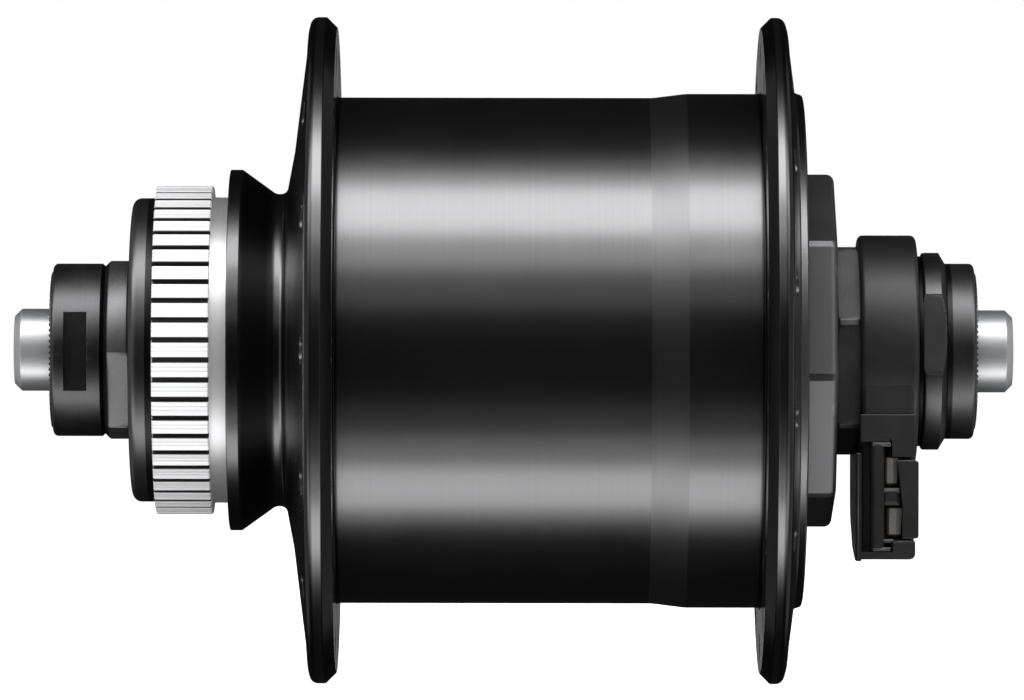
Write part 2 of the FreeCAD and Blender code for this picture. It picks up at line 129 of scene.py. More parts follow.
class Graph:
    """The nodes and links of one material, round a Principled shader."""

    def __init__(self, name: str) -> None:
        """Starts a material.

        Args:
            name: the material's name.
        """
        self.material = bpy.data.materials.new(name)
        self.material.use_nodes = True
        self.tree = self.material.node_tree
        self.shader = self.tree.nodes["Principled BSDF"]

    def fill(self, socket: Socket, value: object) -> None:
        """Gives an input socket a value, or links it to an output socket.

        Args:
            socket: the input socket.
            value: a number, a colour or an output socket.
        """
        if isinstance(value, Socket):
            self.tree.links.new(value, socket)
        else:
            socket.default_value = value

    def node(self, kind: str, inputs: Inputs | None = None, **settings: object) -> bpy.types.Node:
        """Adds a node.

        Args:
            kind: the node's type name after ShaderNode.
            inputs: values, or output sockets to link, by input name or number.
            **settings: the node's own settings.

        Returns:
            The new node.
        """
        made = self.tree.nodes.new("ShaderNode" + kind)
        for name, value in settings.items():
            setattr(made, name, value)
        for key, value in (inputs or {}).items():
            self.fill(made.inputs[key], value)
        return made

    def shade(self, name: str, value: object) -> None:
        """Fills one input of the shader with a number, a colour or an output socket."""
        self.fill(self.shader.inputs[name], value)

    def blend(self, share: Socket, first: object, second: object) -> Socket:
        """Colour between two: the first at share 0 and the second at 1."""
        return self.node("Mix", {0: share, 6: first, 7: second}, data_type="RGBA").outputs[2]

    def times(self, first: Socket, second: object) -> Socket:
        """Product of two numbers."""
        return self.node("Math", {0: first, 1: second}, operation="MULTIPLY").outputs[0]

    def lathe_coordinate(self, place: Socket) -> Socket:
        """Distance along a turned surface: y on a cylinder and the radius on a face, added together.

        Args:
            place: the object coordinates.

        Returns:
            The distance.
        """
        parts = self.node("SeparateXYZ", {0: place})
        flat = self.node("CombineXYZ", {0: parts.outputs["X"], 1: 0.0, 2: parts.outputs["Z"]})
        radius = self.node("VectorMath", {0: flat.outputs[0]}, operation="LENGTH")
        along = {0: parts.outputs["Y"], 1: radius.outputs["Value"]}
        return self.node("Math", along, operation="ADD").outputs[0]

    def spread(self, value: Socket, low: float, high: float, span: Span = NOISE_RANGE) -> Socket:
        """Maps a pattern on to a range.

        Args:
            value: the pattern.
            low: result at the pattern's low end.
            high: result at its high end.
            span: the pattern's own ends.

        Returns:
            The mapped value.
        """
        made = self.node("MapRange", {0: value, 1: span[0], 2: span[1], 3: low, 4: high})
        return made.outputs[0]


@dataclass(frozen=True)
class Finish:
    """One finish of the hub: its colour, gloss and the fine pattern of its making.

    Attributes:
        name: the material's name.
        slot: the record's material slot; not used.
        colour: base colour.
        metallic: 1 for bare metal, less for a coated one, 0 for plastic.
        roughness: middle roughness.
        grain: how the surface was made.
        grain_size: spacing of the fine pattern, in millimetres.
        grain_height: height of the fine pattern, in millimetres.
        tone: how far the colour moves either way, as a share of itself.
        gloss_spread: how far the roughness moves either way.
        wear: how far edges rubbed by handling go towards bare metal.
        coat: clear top layer.
        specular: specular level.
    """

    name: str
    slot: str
    colour: Colour
    metallic: float
    roughness: float
    grain: Grain
    grain_size: float
    grain_height: float
    tone: float
    gloss_spread: float
    wear: float = 0.0
    coat: float = 0.0
    specular: float = 0.5

    def material(self) -> bpy.types.Material:
        """Makes the material once and gives it again when asked later.

        Returns:
            The material.
        """
        known = bpy.data.materials.get(self.name)
        if known:
            return known
        graph = Graph(self.name)
        place = graph.node("TexCoord").outputs["Object"]
        pattern = self._pattern(graph, place)
        cloud = graph.node("TexNoise", {"Vector": place, **CLOUD}).outputs[0]
        both = graph.node("Mix", {0: CLOUD_SHARE, 2: pattern, 3: cloud}).outputs[0]
        dark = [c * (1 - self.tone) for c in self.colour] + [1.0]
        light = [c * (1 + self.tone) for c in self.colour] + [1.0]
        colour = graph.blend(graph.spread(both, 0.0, 1.0), dark, light)
        if self.wear:
            colour = graph.blend(self._worn(graph, cloud), colour, BARE_METAL)
        # The shade attribute paints shade: it darkens the base colour towards black, point by point.
        shade = graph.node("Attribute", attribute_name="shade").outputs["Fac"]
        graph.shade("Base Color", graph.blend(shade, colour, BLACK))
        graph.shade("Metallic", self.metallic)
        gloss = graph.spread(both, self.roughness - self.gloss_spread, self.roughness + self.gloss_spread)
        graph.shade("Roughness", gloss)
        graph.shade("Specular IOR Level", self.specular)
        graph.shade("Coat Weight", self.coat)
        height = {"Strength": BUMP_STRENGTH, "Distance": self.grain_height * MM, "Height": pattern}
        graph.shade("Normal", graph.node("Bump", height).outputs[0])
        return graph.material

    def _pattern(self, graph: Graph, place: Socket) -> Socket:
        """Fine pattern of the grain: rings for turning, bands for sheets and wire, specks for the rest.

        Args:
            graph: the material's graph.
            place: the object coordinates.

        Returns:
            The pattern.
        """
        scale = 1 / (self.grain_size * MM)
        if self.grain is Grain.TURNED:
            rings = {"W": graph.lathe_coordinate(place), "Scale": scale, **RINGS}
            return graph.node("TexNoise", rings, noise_dimensions="1D").outputs[0]
        if self.grain in (Grain.STAMPED, Grain.WOUND):
            bands = {"Vector": place, "Scale": scale / TURN, **BANDS}
            return graph.node("TexWave", bands, bands_direction="Y").outputs["Fac"]
        specks = SOFT_SPECKS if self.grain is Grain.MOULDED else CRISP_SPECKS
        return graph.node("TexNoise", {"Vector": place, "Scale": scale, **specks}).outputs[0]

    def _worn(self, graph: Graph, cloud: Socket) -> Socket:
        """How bare the metal is: on convex edges, and there by a cloud, as handling wears them.

        Args:
            graph: the material's graph.
            cloud: the cloud.

        Returns:
            The share of bare metal.
        """
        edge = graph.node("NewGeometry").outputs["Pointiness"]
        raised = graph.spread(edge, 0.0, 1.0, WORN_EDGE)
        return graph.times(graph.times(raised, graph.spread(cloud, LEAST_WORN, 1.0)), self.wear)


ANODISED = Finish(
    "gloss_black_anodised", "black_anodised_aluminium", (0.205, 0.204, 0.208), 0.995, 0.235, Grain.TURNED,
    grain_size=0.35, grain_height=0.00015, tone=0.05, gloss_spread=0.015,
)
STEP_BLACK = replace(
    ANODISED, name="duller_black_anodised", colour=(0.2, 0.199, 0.203), metallic=0.99, roughness=0.29,
)
CAP_BLACK = Finish(
    "satin_black_anodised", "black_cap_aluminium", (0.165, 0.165, 0.168), 1.0, 0.34, Grain.TURNED,
    grain_size=0.18, grain_height=0.001, tone=0.15, gloss_spread=0.05, wear=0.3,
)
COVER_BLACK = Finish(
    "blasted_black_anodised", "black_cap_aluminium", (0.155, 0.155, 0.159), 0.98, 0.41, Grain.BLASTED,
    grain_size=0.12, grain_height=0.002, tone=0.12, gloss_spread=0.05, wear=0.4,
)
BRIGHT_RING = Finish(
    "bright_machined_aluminium", "bright_spline_aluminium", (0.92, 0.92, 0.93), 0.80, 0.38, Grain.TURNED,
    grain_size=0.15, grain_height=0.0008, tone=0.03, gloss_spread=0.04,
)
SPLINE_CREST = Finish(
    "milled_spline_crest", "bright_spline_aluminium", (0.95, 0.95, 0.96), 0.25, 0.40, Grain.TURNED,
    grain_size=0.12, grain_height=0.0012, tone=0.03, gloss_spread=0.05,
)
AXLE_STEEL = Finish(
    "satin_turned_steel", "satin_axle_steel", (0.74, 0.75, 0.77), 0.90, 0.39, Grain.TURNED,
    grain_size=0.12, grain_height=0.001, tone=0.06, gloss_spread=0.06,
)
NUT_STEEL = Finish(
    "black_plated_steel", "dark_nut_steel", (0.128, 0.128, 0.131), 1.0, 0.38, Grain.TURNED,
    grain_size=0.16, grain_height=0.0015, tone=0.18, gloss_spread=0.07, wear=0.35,
)
CONE_STEEL = Finish(
    "dark_ground_steel", "dark_cone_steel", (0.205, 0.205, 0.21), 0.97, 0.43, Grain.BLASTED,
    grain_size=0.25, grain_height=0.004, tone=0.3, gloss_spread=0.08, wear=0.3,
)
BLOCK_PLASTIC = Finish(
    "matte_black_nylon", "black_block_plastic", (0.009, 0.009, 0.0095), 0.0, 0.42, Grain.MOULDED,
    grain_size=0.3, grain_height=0.012, tone=0.25, gloss_spread=0.08, specular=0.68,
)
# Lighter plastic of the socket's edge strips: painted highlights where light catches the edges.
EDGE_HIGHLIGHT_PLASTIC = Finish(
    "painted_highlight_nylon", "black_block_plastic", (0.06, 0.06, 0.06), 0.0, 0.5, Grain.MOULDED,
    grain_size=0.25, grain_height=0.02, tone=0.45, gloss_spread=0.1,
)
CONTACT = Finish(
    "dull_plated_contact", "contact_metal", (0.19, 0.178, 0.165), 0.6, 0.42, Grain.BLASTED,
    grain_size=0.3, grain_height=0.006, tone=0.3, gloss_spread=0.1,
)
LAMINATION = Finish(
    "electrical_steel", "lamination_steel", (0.44, 0.45, 0.47), 1.0, 0.36, Grain.STAMPED,
    grain_size=0.5, grain_height=0.02, tone=0.2, gloss_spread=0.08,
)
NYLON = Finish(
    "natural_nylon", "bobbin_plastic", (0.74, 0.70, 0.60), 0.0, 0.45, Grain.MOULDED,
    grain_size=0.6, grain_height=0.01, tone=0.06, gloss_spread=0.05,
)
COPPER = Finish(
    "enamelled_copper", "winding_copper", (0.62, 0.24, 0.09), 0.9, 0.25, Grain.WOUND,
    grain_size=0.55, grain_height=0.01, tone=0.15, gloss_spread=0.05, coat=0.6,
)
ZINC = Finish(
    "zinc_plated_steel", "zinc_nut_steel", (0.62, 0.62, 0.58), 1.0, 0.32, Grain.BLASTED,
    grain_size=0.5, grain_height=0.003, tone=0.12, gloss_spread=0.08,
)
INSULATION = Finish(
    "red_insulation", "lead_insulation", (0.42, 0.025, 0.02), 0.0, 0.4, Grain.MOULDED,
    grain_size=0.5, grain_height=0.005, tone=0.15, gloss_spread=0.05,
)
BEARING_STEEL = Finish(
    "polished_bearing_steel", "bearing_steel", (0.74, 0.74, 0.75), 1.0, 0.12, Grain.TURNED,
    grain_size=0.1, grain_height=0.0004, tone=0.04, gloss_spread=0.03,
)
FERRITE = Finish(
    "sintered_ferrite", "ferrite_magnet", (0.07, 0.07, 0.075), 0.2, 0.6, Grain.BLASTED,
    grain_size=0.4, grain_height=0.01, tone=0.25, gloss_spread=0.08,
)


@dataclass
class Skin:
    """A surface as arrays: its points in millimetres and its faces of four corners.

    Attributes:
        points: (n, 3) places.
        quads: (m, 4) point numbers.
        shade: (n,) painted shade at each point: how much darker the colour is, from 0 to 1.
        patch: (m,) number of the finish of each face.
    """

    points: Array
    quads: Array
    shade: Array
    patch: Array

    @classmethod
    def joined(cls, skins: Sequence["Skin"]) -> "Skin":
        """One skin of several, with the point numbers of each moved past those before it.

        Args:
            skins: the skins in order.

        Returns:
            The one skin.
        """
        starts = np.cumsum([0] + [len(s.points) for s in skins[:-1]])
        return cls(
            np.concatenate([s.points for s in skins]),
            np.concatenate([s.quads + start for s, start in zip(skins, starts)]),
            np.concatenate([s.shade for s in skins]),
            np.concatenate([s.patch for s in skins]),
        )

    @classmethod
    def grid(cls, points: Array, wrap_rows: bool = False, wrap_columns: bool = False) -> "Skin":
        """Skin of a grid of points.

        Args:
            points: (rows, columns, 3) places.
            wrap_rows: whether the last row meets the first.
            wrap_columns: whether the last column meets the first.

        Returns:
            The skin, with a face between each four neighbours.
        """
        rows, columns = points.shape[:2]
        i = np.arange(rows if wrap_rows else rows - 1)[:, None]
        j = np.arange(columns if wrap_columns else columns - 1)[None, :]
        below, right = (i + 1) % rows, (j + 1) % columns
        corners = [i * columns + j, i * columns + right, below * columns + right, below * columns + j]
        quads = np.stack(np.broadcast_arrays(*corners), -1).reshape(-1, 4)
        return cls(points.reshape(-1, 3), quads, np.zeros(rows * columns), np.zeros(len(quads), np.int32))

    @property
    def about_axle(self) -> tuple[Array, Array]:
        """Place along the axle and radius about it of each point."""
        return self.points[:, 1], np.hypot(self.points[:, 0], self.points[:, 2])

    def shaded(self, shade: float | Array) -> "Skin":
        """The same skin with a shade, for all of it or point by point."""
        return replace(self, shade=np.broadcast_to(shade, (len(self.points),)))

    def patched(self, chosen: Array) -> "Skin":
        """The same skin, with the second finish on the faces whose points are all chosen."""
        return replace(self, patch=chosen[self.quads].all(1).astype(np.int32))

    def object(self, name: str) -> bpy.types.Object:
        """Mesh object of the skin: meeting points merged, faces outwards, smooth but for its sharp edges.

        Args:
            name: the object's name.

        Returns:
            The object, at the origin.
        """
        mesh = bpy.data.meshes.new(name)
        mesh.vertices.add(len(self.points))
        mesh.vertices.foreach_set("co", (self.points * MM).astype(np.float32).ravel())
        mesh.loops.add(self.quads.size)
        mesh.loops.foreach_set("vertex_index", self.quads.astype(np.int32).ravel())
        mesh.polygons.add(len(self.quads))
        mesh.polygons.foreach_set("loop_start", np.arange(0, self.quads.size, 4, dtype=np.int32))
        mesh.polygons.foreach_set("material_index", self.patch.astype(np.int32))
        mesh.update(calc_edges=True)
        layer = mesh.attributes.new("shade", "FLOAT", "POINT")
        layer.data.foreach_set("value", self.shade.astype(np.float32))
        build = bmesh.new()
        build.from_mesh(mesh)
        bmesh.ops.remove_doubles(build, verts=build.verts, dist=MERGE_DISTANCE)
        bmesh.ops.recalc_face_normals(build, faces=build.faces)
        build.to_mesh(mesh)
        build.free()
        mesh.shade_smooth()
        mesh.set_sharp_from_angle(angle=SHARP_ANGLE)
        made = bpy.data.objects.new(name, mesh)
        bpy.context.scene.collection.objects.link(made)
        return made


@dataclass(frozen=True)
class Place:
    """Where a node of the frame lies, in millimetres.

    Attributes:
        low: its lowest corner.
        high: its highest corner.
    """

    low: Vector
    high: Vector

    @classmethod
    def of(cls, node: str) -> "Place":
        """Place of a node."""
        low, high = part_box(node)
        return cls(low / MM, high / MM)

    @property
    def span(self) -> Span:
        """Lowest and highest place along the axle."""
        return self.low.y, self.high.y

    @property
    def radius(self) -> float:
        """Widest radius about the axle."""
        return max(self.high.x, self.high.z)


def unit(vector: Array) -> Array:
    """The vector at length 1."""
    return vector / np.linalg.norm(vector)


def rounded(corners: Corners, steps: int = 4, closed: bool = True) -> Array:
    """Outline whose corners are arcs.

    At a corner the arc is tangent to both sides. Its centre lies on their bisector, at the radius over the
    sine of half the corner, and its points turn evenly from one tangent point to the other.

    Args:
        corners: (first, second, arc radius) of each corner in order.
        steps: parts of each arc.
        closed: whether the outline ends where it starts.

    Returns:
        (n, 2) points.
    """
    places = np.array([c[:2] for c in corners], float)
    last = len(corners) - 1
    t = np.linspace(0, 1, steps + 1)[:, None]
    runs = []
    for i, (_, _, radius) in enumerate(corners):
        here = places[i]
        if radius == 0 or (not closed and i in (0, last)):
            runs.append(here[None])
            continue
        back = unit(places[i - 1] - here)
        ahead = unit(places[(i + 1) % len(places)] - here)
        half = math.acos(np.clip(back @ ahead, -1, 1)) / 2
        centre = here + unit(back + ahead) * radius / math.sin(half)
        start = here + back * radius / math.tan(half) - centre
        end = here + ahead * radius / math.tan(half) - centre
        total = math.pi - 2 * half
        runs.append(centre + (np.sin((1 - t) * total) * start + np.sin(t * total) * end) / math.sin(total))
    return np.concatenate(runs)


def rectangle(low: Span, high: Span, radius: float) -> Array:
    """Outline of a rectangle with rounded corners, always with the same number of points."""
    places = [(low[0], low[1]), (high[0], low[1]), (high[0], high[1]), (low[0], high[1])]
    return rounded([(*place, radius) for place in places])


def collar(y: Span, bore: float, radius: float, edge: float, steps: int) -> Array:
    """Section of a round collar: (y, radius) points, its outer and inner edges eased."""
    places = [(y[0], bore, BORE_ROUND), (y[0], radius, edge), (y[1], radius, edge), (y[1], bore, BORE_ROUND)]
    return rounded(places, steps)


def triangle_wave(x: Array) -> Array:
    """Wave of period 1 that falls from 1 to 0 and rises again in straight lines."""
    return np.abs(2 * (x % 1.0) - 1)


def rows_of(outline: Outline, flat: float = ROUND, bite: float = 0.0) -> Array:
    """Rows for lathe() from (y, radius) points, all with the same flat and bite and no thread."""
    extra = np.tile([flat, bite, 0.0], (len(outline), 1))
    return np.hstack([outline, extra])


def flat_edge(flat: float, radius: float) -> float:
    """Half of the angle that a flat takes from a circle of the radius, in degrees."""
    return math.degrees(math.acos(flat / radius))


def columns(count: int, turn: float = 0.0, edge: float | None = None, sides: int = 2) -> Array:
    """Angles round the axle, evenly spaced, with three close together at each edge of a side.

    Args:
        count: even angles.
        turn: middle of the first side, in degrees.
        edge: half width of a side, in degrees, where there are flat sides.
        sides: number of sides.

    Returns:
        Sorted angles in radians.
    """
    angles = np.arange(count) * TURN / count
    if edge is not None:
        middles = np.radians(turn) + np.arange(sides) * TURN / sides
        steps = (-EDGE_STEP, 0.0, EDGE_STEP)
        offsets = np.radians([end + step for end in (-edge, edge) for step in steps])
        angles = np.concatenate([angles, (middles[:, None] + offsets).ravel()])
    return np.unique(np.round(angles % TURN, 6))


def turned(y: float | Array, radius: float | Array, angle: Array) -> Array:
    """Points at places along the axle, radii about it and angles up from the camera's side."""
    return np.stack(np.broadcast_arrays(-radius * np.cos(angle), y, radius * np.sin(angle)), -1)


def lathe(
    rows: Array, angles: Array, sides: int = 2, turn: float = 0.0, serrations: int = 0, pitch: float = 1.0,
    closed: bool = True,
) -> Skin:
    """Surface turned about the axle, with the flats, end serrations and thread that its rows ask for.

    Each row is (y, radius, flat, bite, thread). At angle t from the camera's side the radius is the lesser of
    the row's radius and flat / cos(t folded into the nearest side), less thread times a triangle wave of
    y / pitch - t / a turn. Its y moves by bite times a triangle wave of t with the given serrations.

    Args:
        rows: (n, 5) rows in order round the section.
        angles: (m,) angles in radians.
        sides: number of flat sides round the axle.
        turn: middle of the first side, in degrees, up from the camera's side.
        serrations: teeth round an end face.
        pitch: thread pitch.
        closed: whether the section ends where it starts.

    Returns:
        The skin.
    """
    y, radius, flat, bite, thread = rows.T[:, :, None]
    fold = (angles - math.radians(turn) + math.pi / sides) % (TURN / sides) - math.pi / sides
    reach = np.minimum(radius, flat / np.maximum(np.cos(fold), TINY))
    reach = reach - thread * triangle_wave(y / pitch - angles / TURN)
    along = y + bite * triangle_wave(angles * serrations / TURN)
    return Skin.grid(turned(along, reach, angles), wrap_rows=closed, wrap_columns=True)


def capped(rings: Array) -> Skin:
    """Closed surface through rings of points, each carried straight to the next, its ends drawn in."""
    ends = [np.broadcast_to(ring.mean(0), ring.shape) for ring in (rings[0], rings[-1])]
    return Skin.grid(np.stack([ends[0], *rings, ends[1]]), wrap_columns=True)


def bevelled(outline: Array, inset: Array, span: Span, bevel: float) -> Skin:
    """Block of an outline square to X, whose front and back edges are bevelled down to an inset outline.

    Args:
        outline: (n, 2) points of the outline.
        inset: the same points on the front and back faces.
        span: front and back.
        bevel: depth of the bevel along X.

    Returns:
        The skin.
    """
    front, back = span
    rings = [(front, inset), (front + bevel, outline), (back - bevel, outline), (back, inset)]
    return capped(np.array([np.column_stack([np.full(len(ring), x), ring]) for x, ring in rings]))


def stands_for(skin: Skin, node: str, finish: Finish, body: Body, second: Finish | None = None) -> None:
    """Makes the piece that stands for a node, dresses it and lets it ride.

    Args:
        skin: its surface.
        node: the node, whose name the piece takes.
        finish: its finish.
        body: the body it rides on.
        second: finish of the faces that the skin's patch numbers 1.
    """
    piece = skin.object(node + "_look")
    piece.data.materials.append(finish.material())
    if second:
        piece.data.materials.append(second.material())
    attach(piece, body.value)
    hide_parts(node)
    log.info("%s: %d faces, %s", node, len(piece.data.polygons), finish.name)


def dress(node: str, finish: Finish) -> None:
    """Gives a node of the frame its finish.

    Args:
        node: the node.
        finish: the finish.
    """
    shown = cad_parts[node]
    shown.data.materials.clear()
    shown.data.materials.append(finish.material())
    log.info("%s: kept from the frame, %s", node, finish.name)


@dataclass
class Axle:
    """The hollow axle: plain stubs outside the lock nuts and a fine thread inside them."""

    chamfer: float = 0.75
    shoulder_round: float = 0.2
    stub_length: float = 4.0
    stub_radius: float = 4.45
    bore_radius: float = 2.6
    bore_chamfer: float = 0.5
    thread_chamfer: float = 0.3
    thread_depth: float = 0.55
    thread_pitch: float = 1.0
    thread_from: float = 27.0
    thread_run_out: float = 1.0
    rows_per_pitch: int = 6
    around: int = 72

    def build(self) -> None:
        """Makes the axle, its brake-side half as the mirror of the other."""
        place = Place.of("axle")
        tip, major = place.high.y, place.radius
        end = tip - self.stub_length
        stub = rounded([
            (-tip, self.stub_radius - self.chamfer, 0),
            (-tip + self.chamfer, self.stub_radius, self.shoulder_round),
            (-end, self.stub_radius, 0),
            (-end, major - self.thread_chamfer, 0),
        ], closed=False)
        count = int((end - self.thread_from) / self.thread_pitch * self.rows_per_pitch)
        y = np.linspace(-end + self.thread_chamfer, -self.thread_from, count)
        ramp = np.clip(np.minimum(y + end, -self.thread_from - y) / self.thread_run_out, 0, 1)
        thread = rows_of(np.column_stack([y, np.full(count, major)]))
        thread[:, 4] = self.thread_depth * ramp
        half = np.vstack([rows_of([(-tip, self.bore_radius + self.bore_chamfer), *stub]), thread])
        other = half[::-1] * [-1, 1, 1, 1, 1]
        mouth = tip - self.bore_chamfer
        bore = rows_of([(mouth, self.bore_radius), (-mouth, self.bore_radius)])
        skin = lathe(np.vstack([half, other, bore]), columns(self.around), pitch=self.thread_pitch)
        stands_for(skin, "axle", AXLE_STEEL, Body.AXLE)


@dataclass
class LockNuts:
    """The two lock nuts that bite the fork, and the washer under the connector-side one."""

    bore_radius: float = THREAD_BORE
    edge_round: float = 0.5
    around: int = 504
    serrations: int = 84
    bite: float = 0.27
    bite_inner: float = 7.5
    bite_ramp: float = 0.2
    bite_outer: float = 8.4
    recess: float = 0.42
    rim_drop: float = 0.2
    tooth_shade: float = 0.6
    groove: float = BRAKE_GROOVE
    groove_chamfer: float = 0.34
    groove_ease: Span = (0.06, 0.02)
    groove_shade: float = 0.85
    slot_inset: float = 1.6
    slot_width: float = 2.5
    slot_depth: float = 1.02
    slot_edge: float = 0.08
    slot_turn: float = -1.2
    nose_radius: float = 9.5
    nose_length: float = 3.3
    nose_root: float = 0.6
    root_fade: float = 0.15
    root_shade: float = 0.75
    taper: float = 0.7
    taper_rows: int = 8
    flange_growth: float = 0.18
    flange_round: float = 0.3
    flat_depth: float = 1.0
    flat_turn: float = 10.5
    washer_radius: float = 10.3
    washer_round: float = 0.12
    washer_around: int = 160
    washer_shade: float = 0.85

    def build(self) -> None:
        """Makes both nuts and the washer."""
        self._brake_nut()
        self._connector_nut()
        self._washer()

    def _bitten_face(self, y: float, inwards: float) -> Array:
        """Rows of the end face from its bore out to the foot of the serrations.

        Args:
            y: place of the face.
            inwards: direction along the axle into the nut, 1 or -1.

        Returns:
            The rows.
        """
        sunk = y + inwards * self.recess
        teeth = [(y, self.bite_inner + self.bite_ramp), (y, self.bite_outer)]
        return np.vstack([
            rows_of([(sunk, self.bore_radius), (sunk, self.bite_inner)]),
            rows_of(teeth, bite=inwards * self.bite),
            rows_of([(y + inwards * self.rim_drop, self.bite_outer)]),
        ])

    def _milled(self, rows: Array, radius: float, flat: float, turn: float) -> Skin:
        """Surface of a nut from its rows, with two flats and the serrations."""
        angles = columns(self.around, turn, flat_edge(flat, radius))
        return lathe(rows, angles, turn=turn, serrations=self.serrations)

    def _brake_nut(self) -> None:
        """Round nut with a short milled flat at its front and back."""
        place = Place.of("brake_side_lock_nut")
        low, high, radius = self.groove, place.high.y, place.radius
        rim = high - self.rim_drop
        side = rounded([(rim, 0, 0), (rim, radius, self.edge_round), (low, radius, 0)], closed=False)
        slot_high = high - self.slot_inset
        slot_low = slot_high - self.slot_width
        flat = radius - self.slot_depth
        edge = low + self.groove_chamfer
        tail = [
            (edge + self.groove_ease[0], radius), (edge, radius - self.groove_ease[1]),
            (low, radius - self.groove_chamfer), (low, self.bore_radius),
        ]
        rows = np.vstack([
            self._bitten_face(high, -1),
            rows_of([*side[1:-1], (slot_high + self.slot_edge, radius)]),
            rows_of([(slot_high, radius)], radius - self.slot_edge),
            rows_of([(slot_high, radius), (slot_low, radius)], flat),
            rows_of([(slot_low, radius)], radius - self.slot_edge),
            rows_of([(slot_low - self.slot_edge, radius), *tail]),
        ])
        skin = self._milled(rows, radius, flat, self.slot_turn)
        along, _ = skin.about_axle
        # Painted shade: the groove's chamfer is darkened almost to black, and the serration teeth are
        # darkened.
        places = [along < edge + TOUCH, along > rim + TOUCH]
        skin = skin.shaded(np.select(places, [self.groove_shade, self.tooth_shade], 0.0))
        stands_for(skin, "brake_side_lock_nut", NUT_STEEL, Body.AXLE)

    def _connector_nut(self) -> None:
        """Nut with a flatted flange, a taper and a round nose against the fork."""
        place = Place.of("connector_side_lock_nut")
        low, high, radius = place.low.y, place.high.y, place.radius + self.flange_growth
        rim = low + self.rim_drop
        nose_end = low + self.nose_length
        root = nose_end - self.nose_root
        fade = root + self.root_fade
        taper_end = nose_end + self.taper
        nose = rounded([
            (rim, 0, 0), (rim, self.nose_radius, self.edge_round), (high, self.nose_radius, 0),
        ], closed=False)
        taper = np.linspace((nose_end, self.nose_radius), (taper_end, radius), self.taper_rows)
        flange = rounded([
            (taper_end, radius, 0), (high, radius, self.flange_round), (high, self.bore_radius, 0),
        ], closed=False)
        flat = radius - self.flat_depth
        rows = np.vstack([
            self._bitten_face(low, 1),
            rows_of([*nose[1:-1], (root, self.nose_radius), (fade, self.nose_radius)]),
            rows_of([*taper, *flange[1:-1]], flat),
            rows_of(flange[-1:]),
        ])
        skin = self._milled(rows, radius, flat, self.flat_turn)
        along, _ = skin.about_axle
        # Painted shade: the serration teeth are darkened, and so is a band at the nose's root where it meets
        # the taper.
        places = [along < rim - TOUCH, (along > fade - TOUCH) & (along < nose_end + self.root_fade)]
        skin = skin.shaded(np.select(places, [self.tooth_shade, self.root_shade], 0.0))
        stands_for(skin, "connector_side_lock_nut", NUT_STEEL, Body.AXLE)

    def _washer(self) -> None:
        """Thin washer, its edges eased."""
        span = Place.of("connector_washer").span
        section = collar(span, self.bore_radius, self.washer_radius, self.washer_round, steps=3)
        # The whole washer is darkened: painted shade in the gap between the block and the nut.
        skin = lathe(rows_of(section), columns(self.washer_around)).shaded(self.washer_shade)
        stands_for(skin, "connector_washer", NUT_STEEL, Body.AXLE)


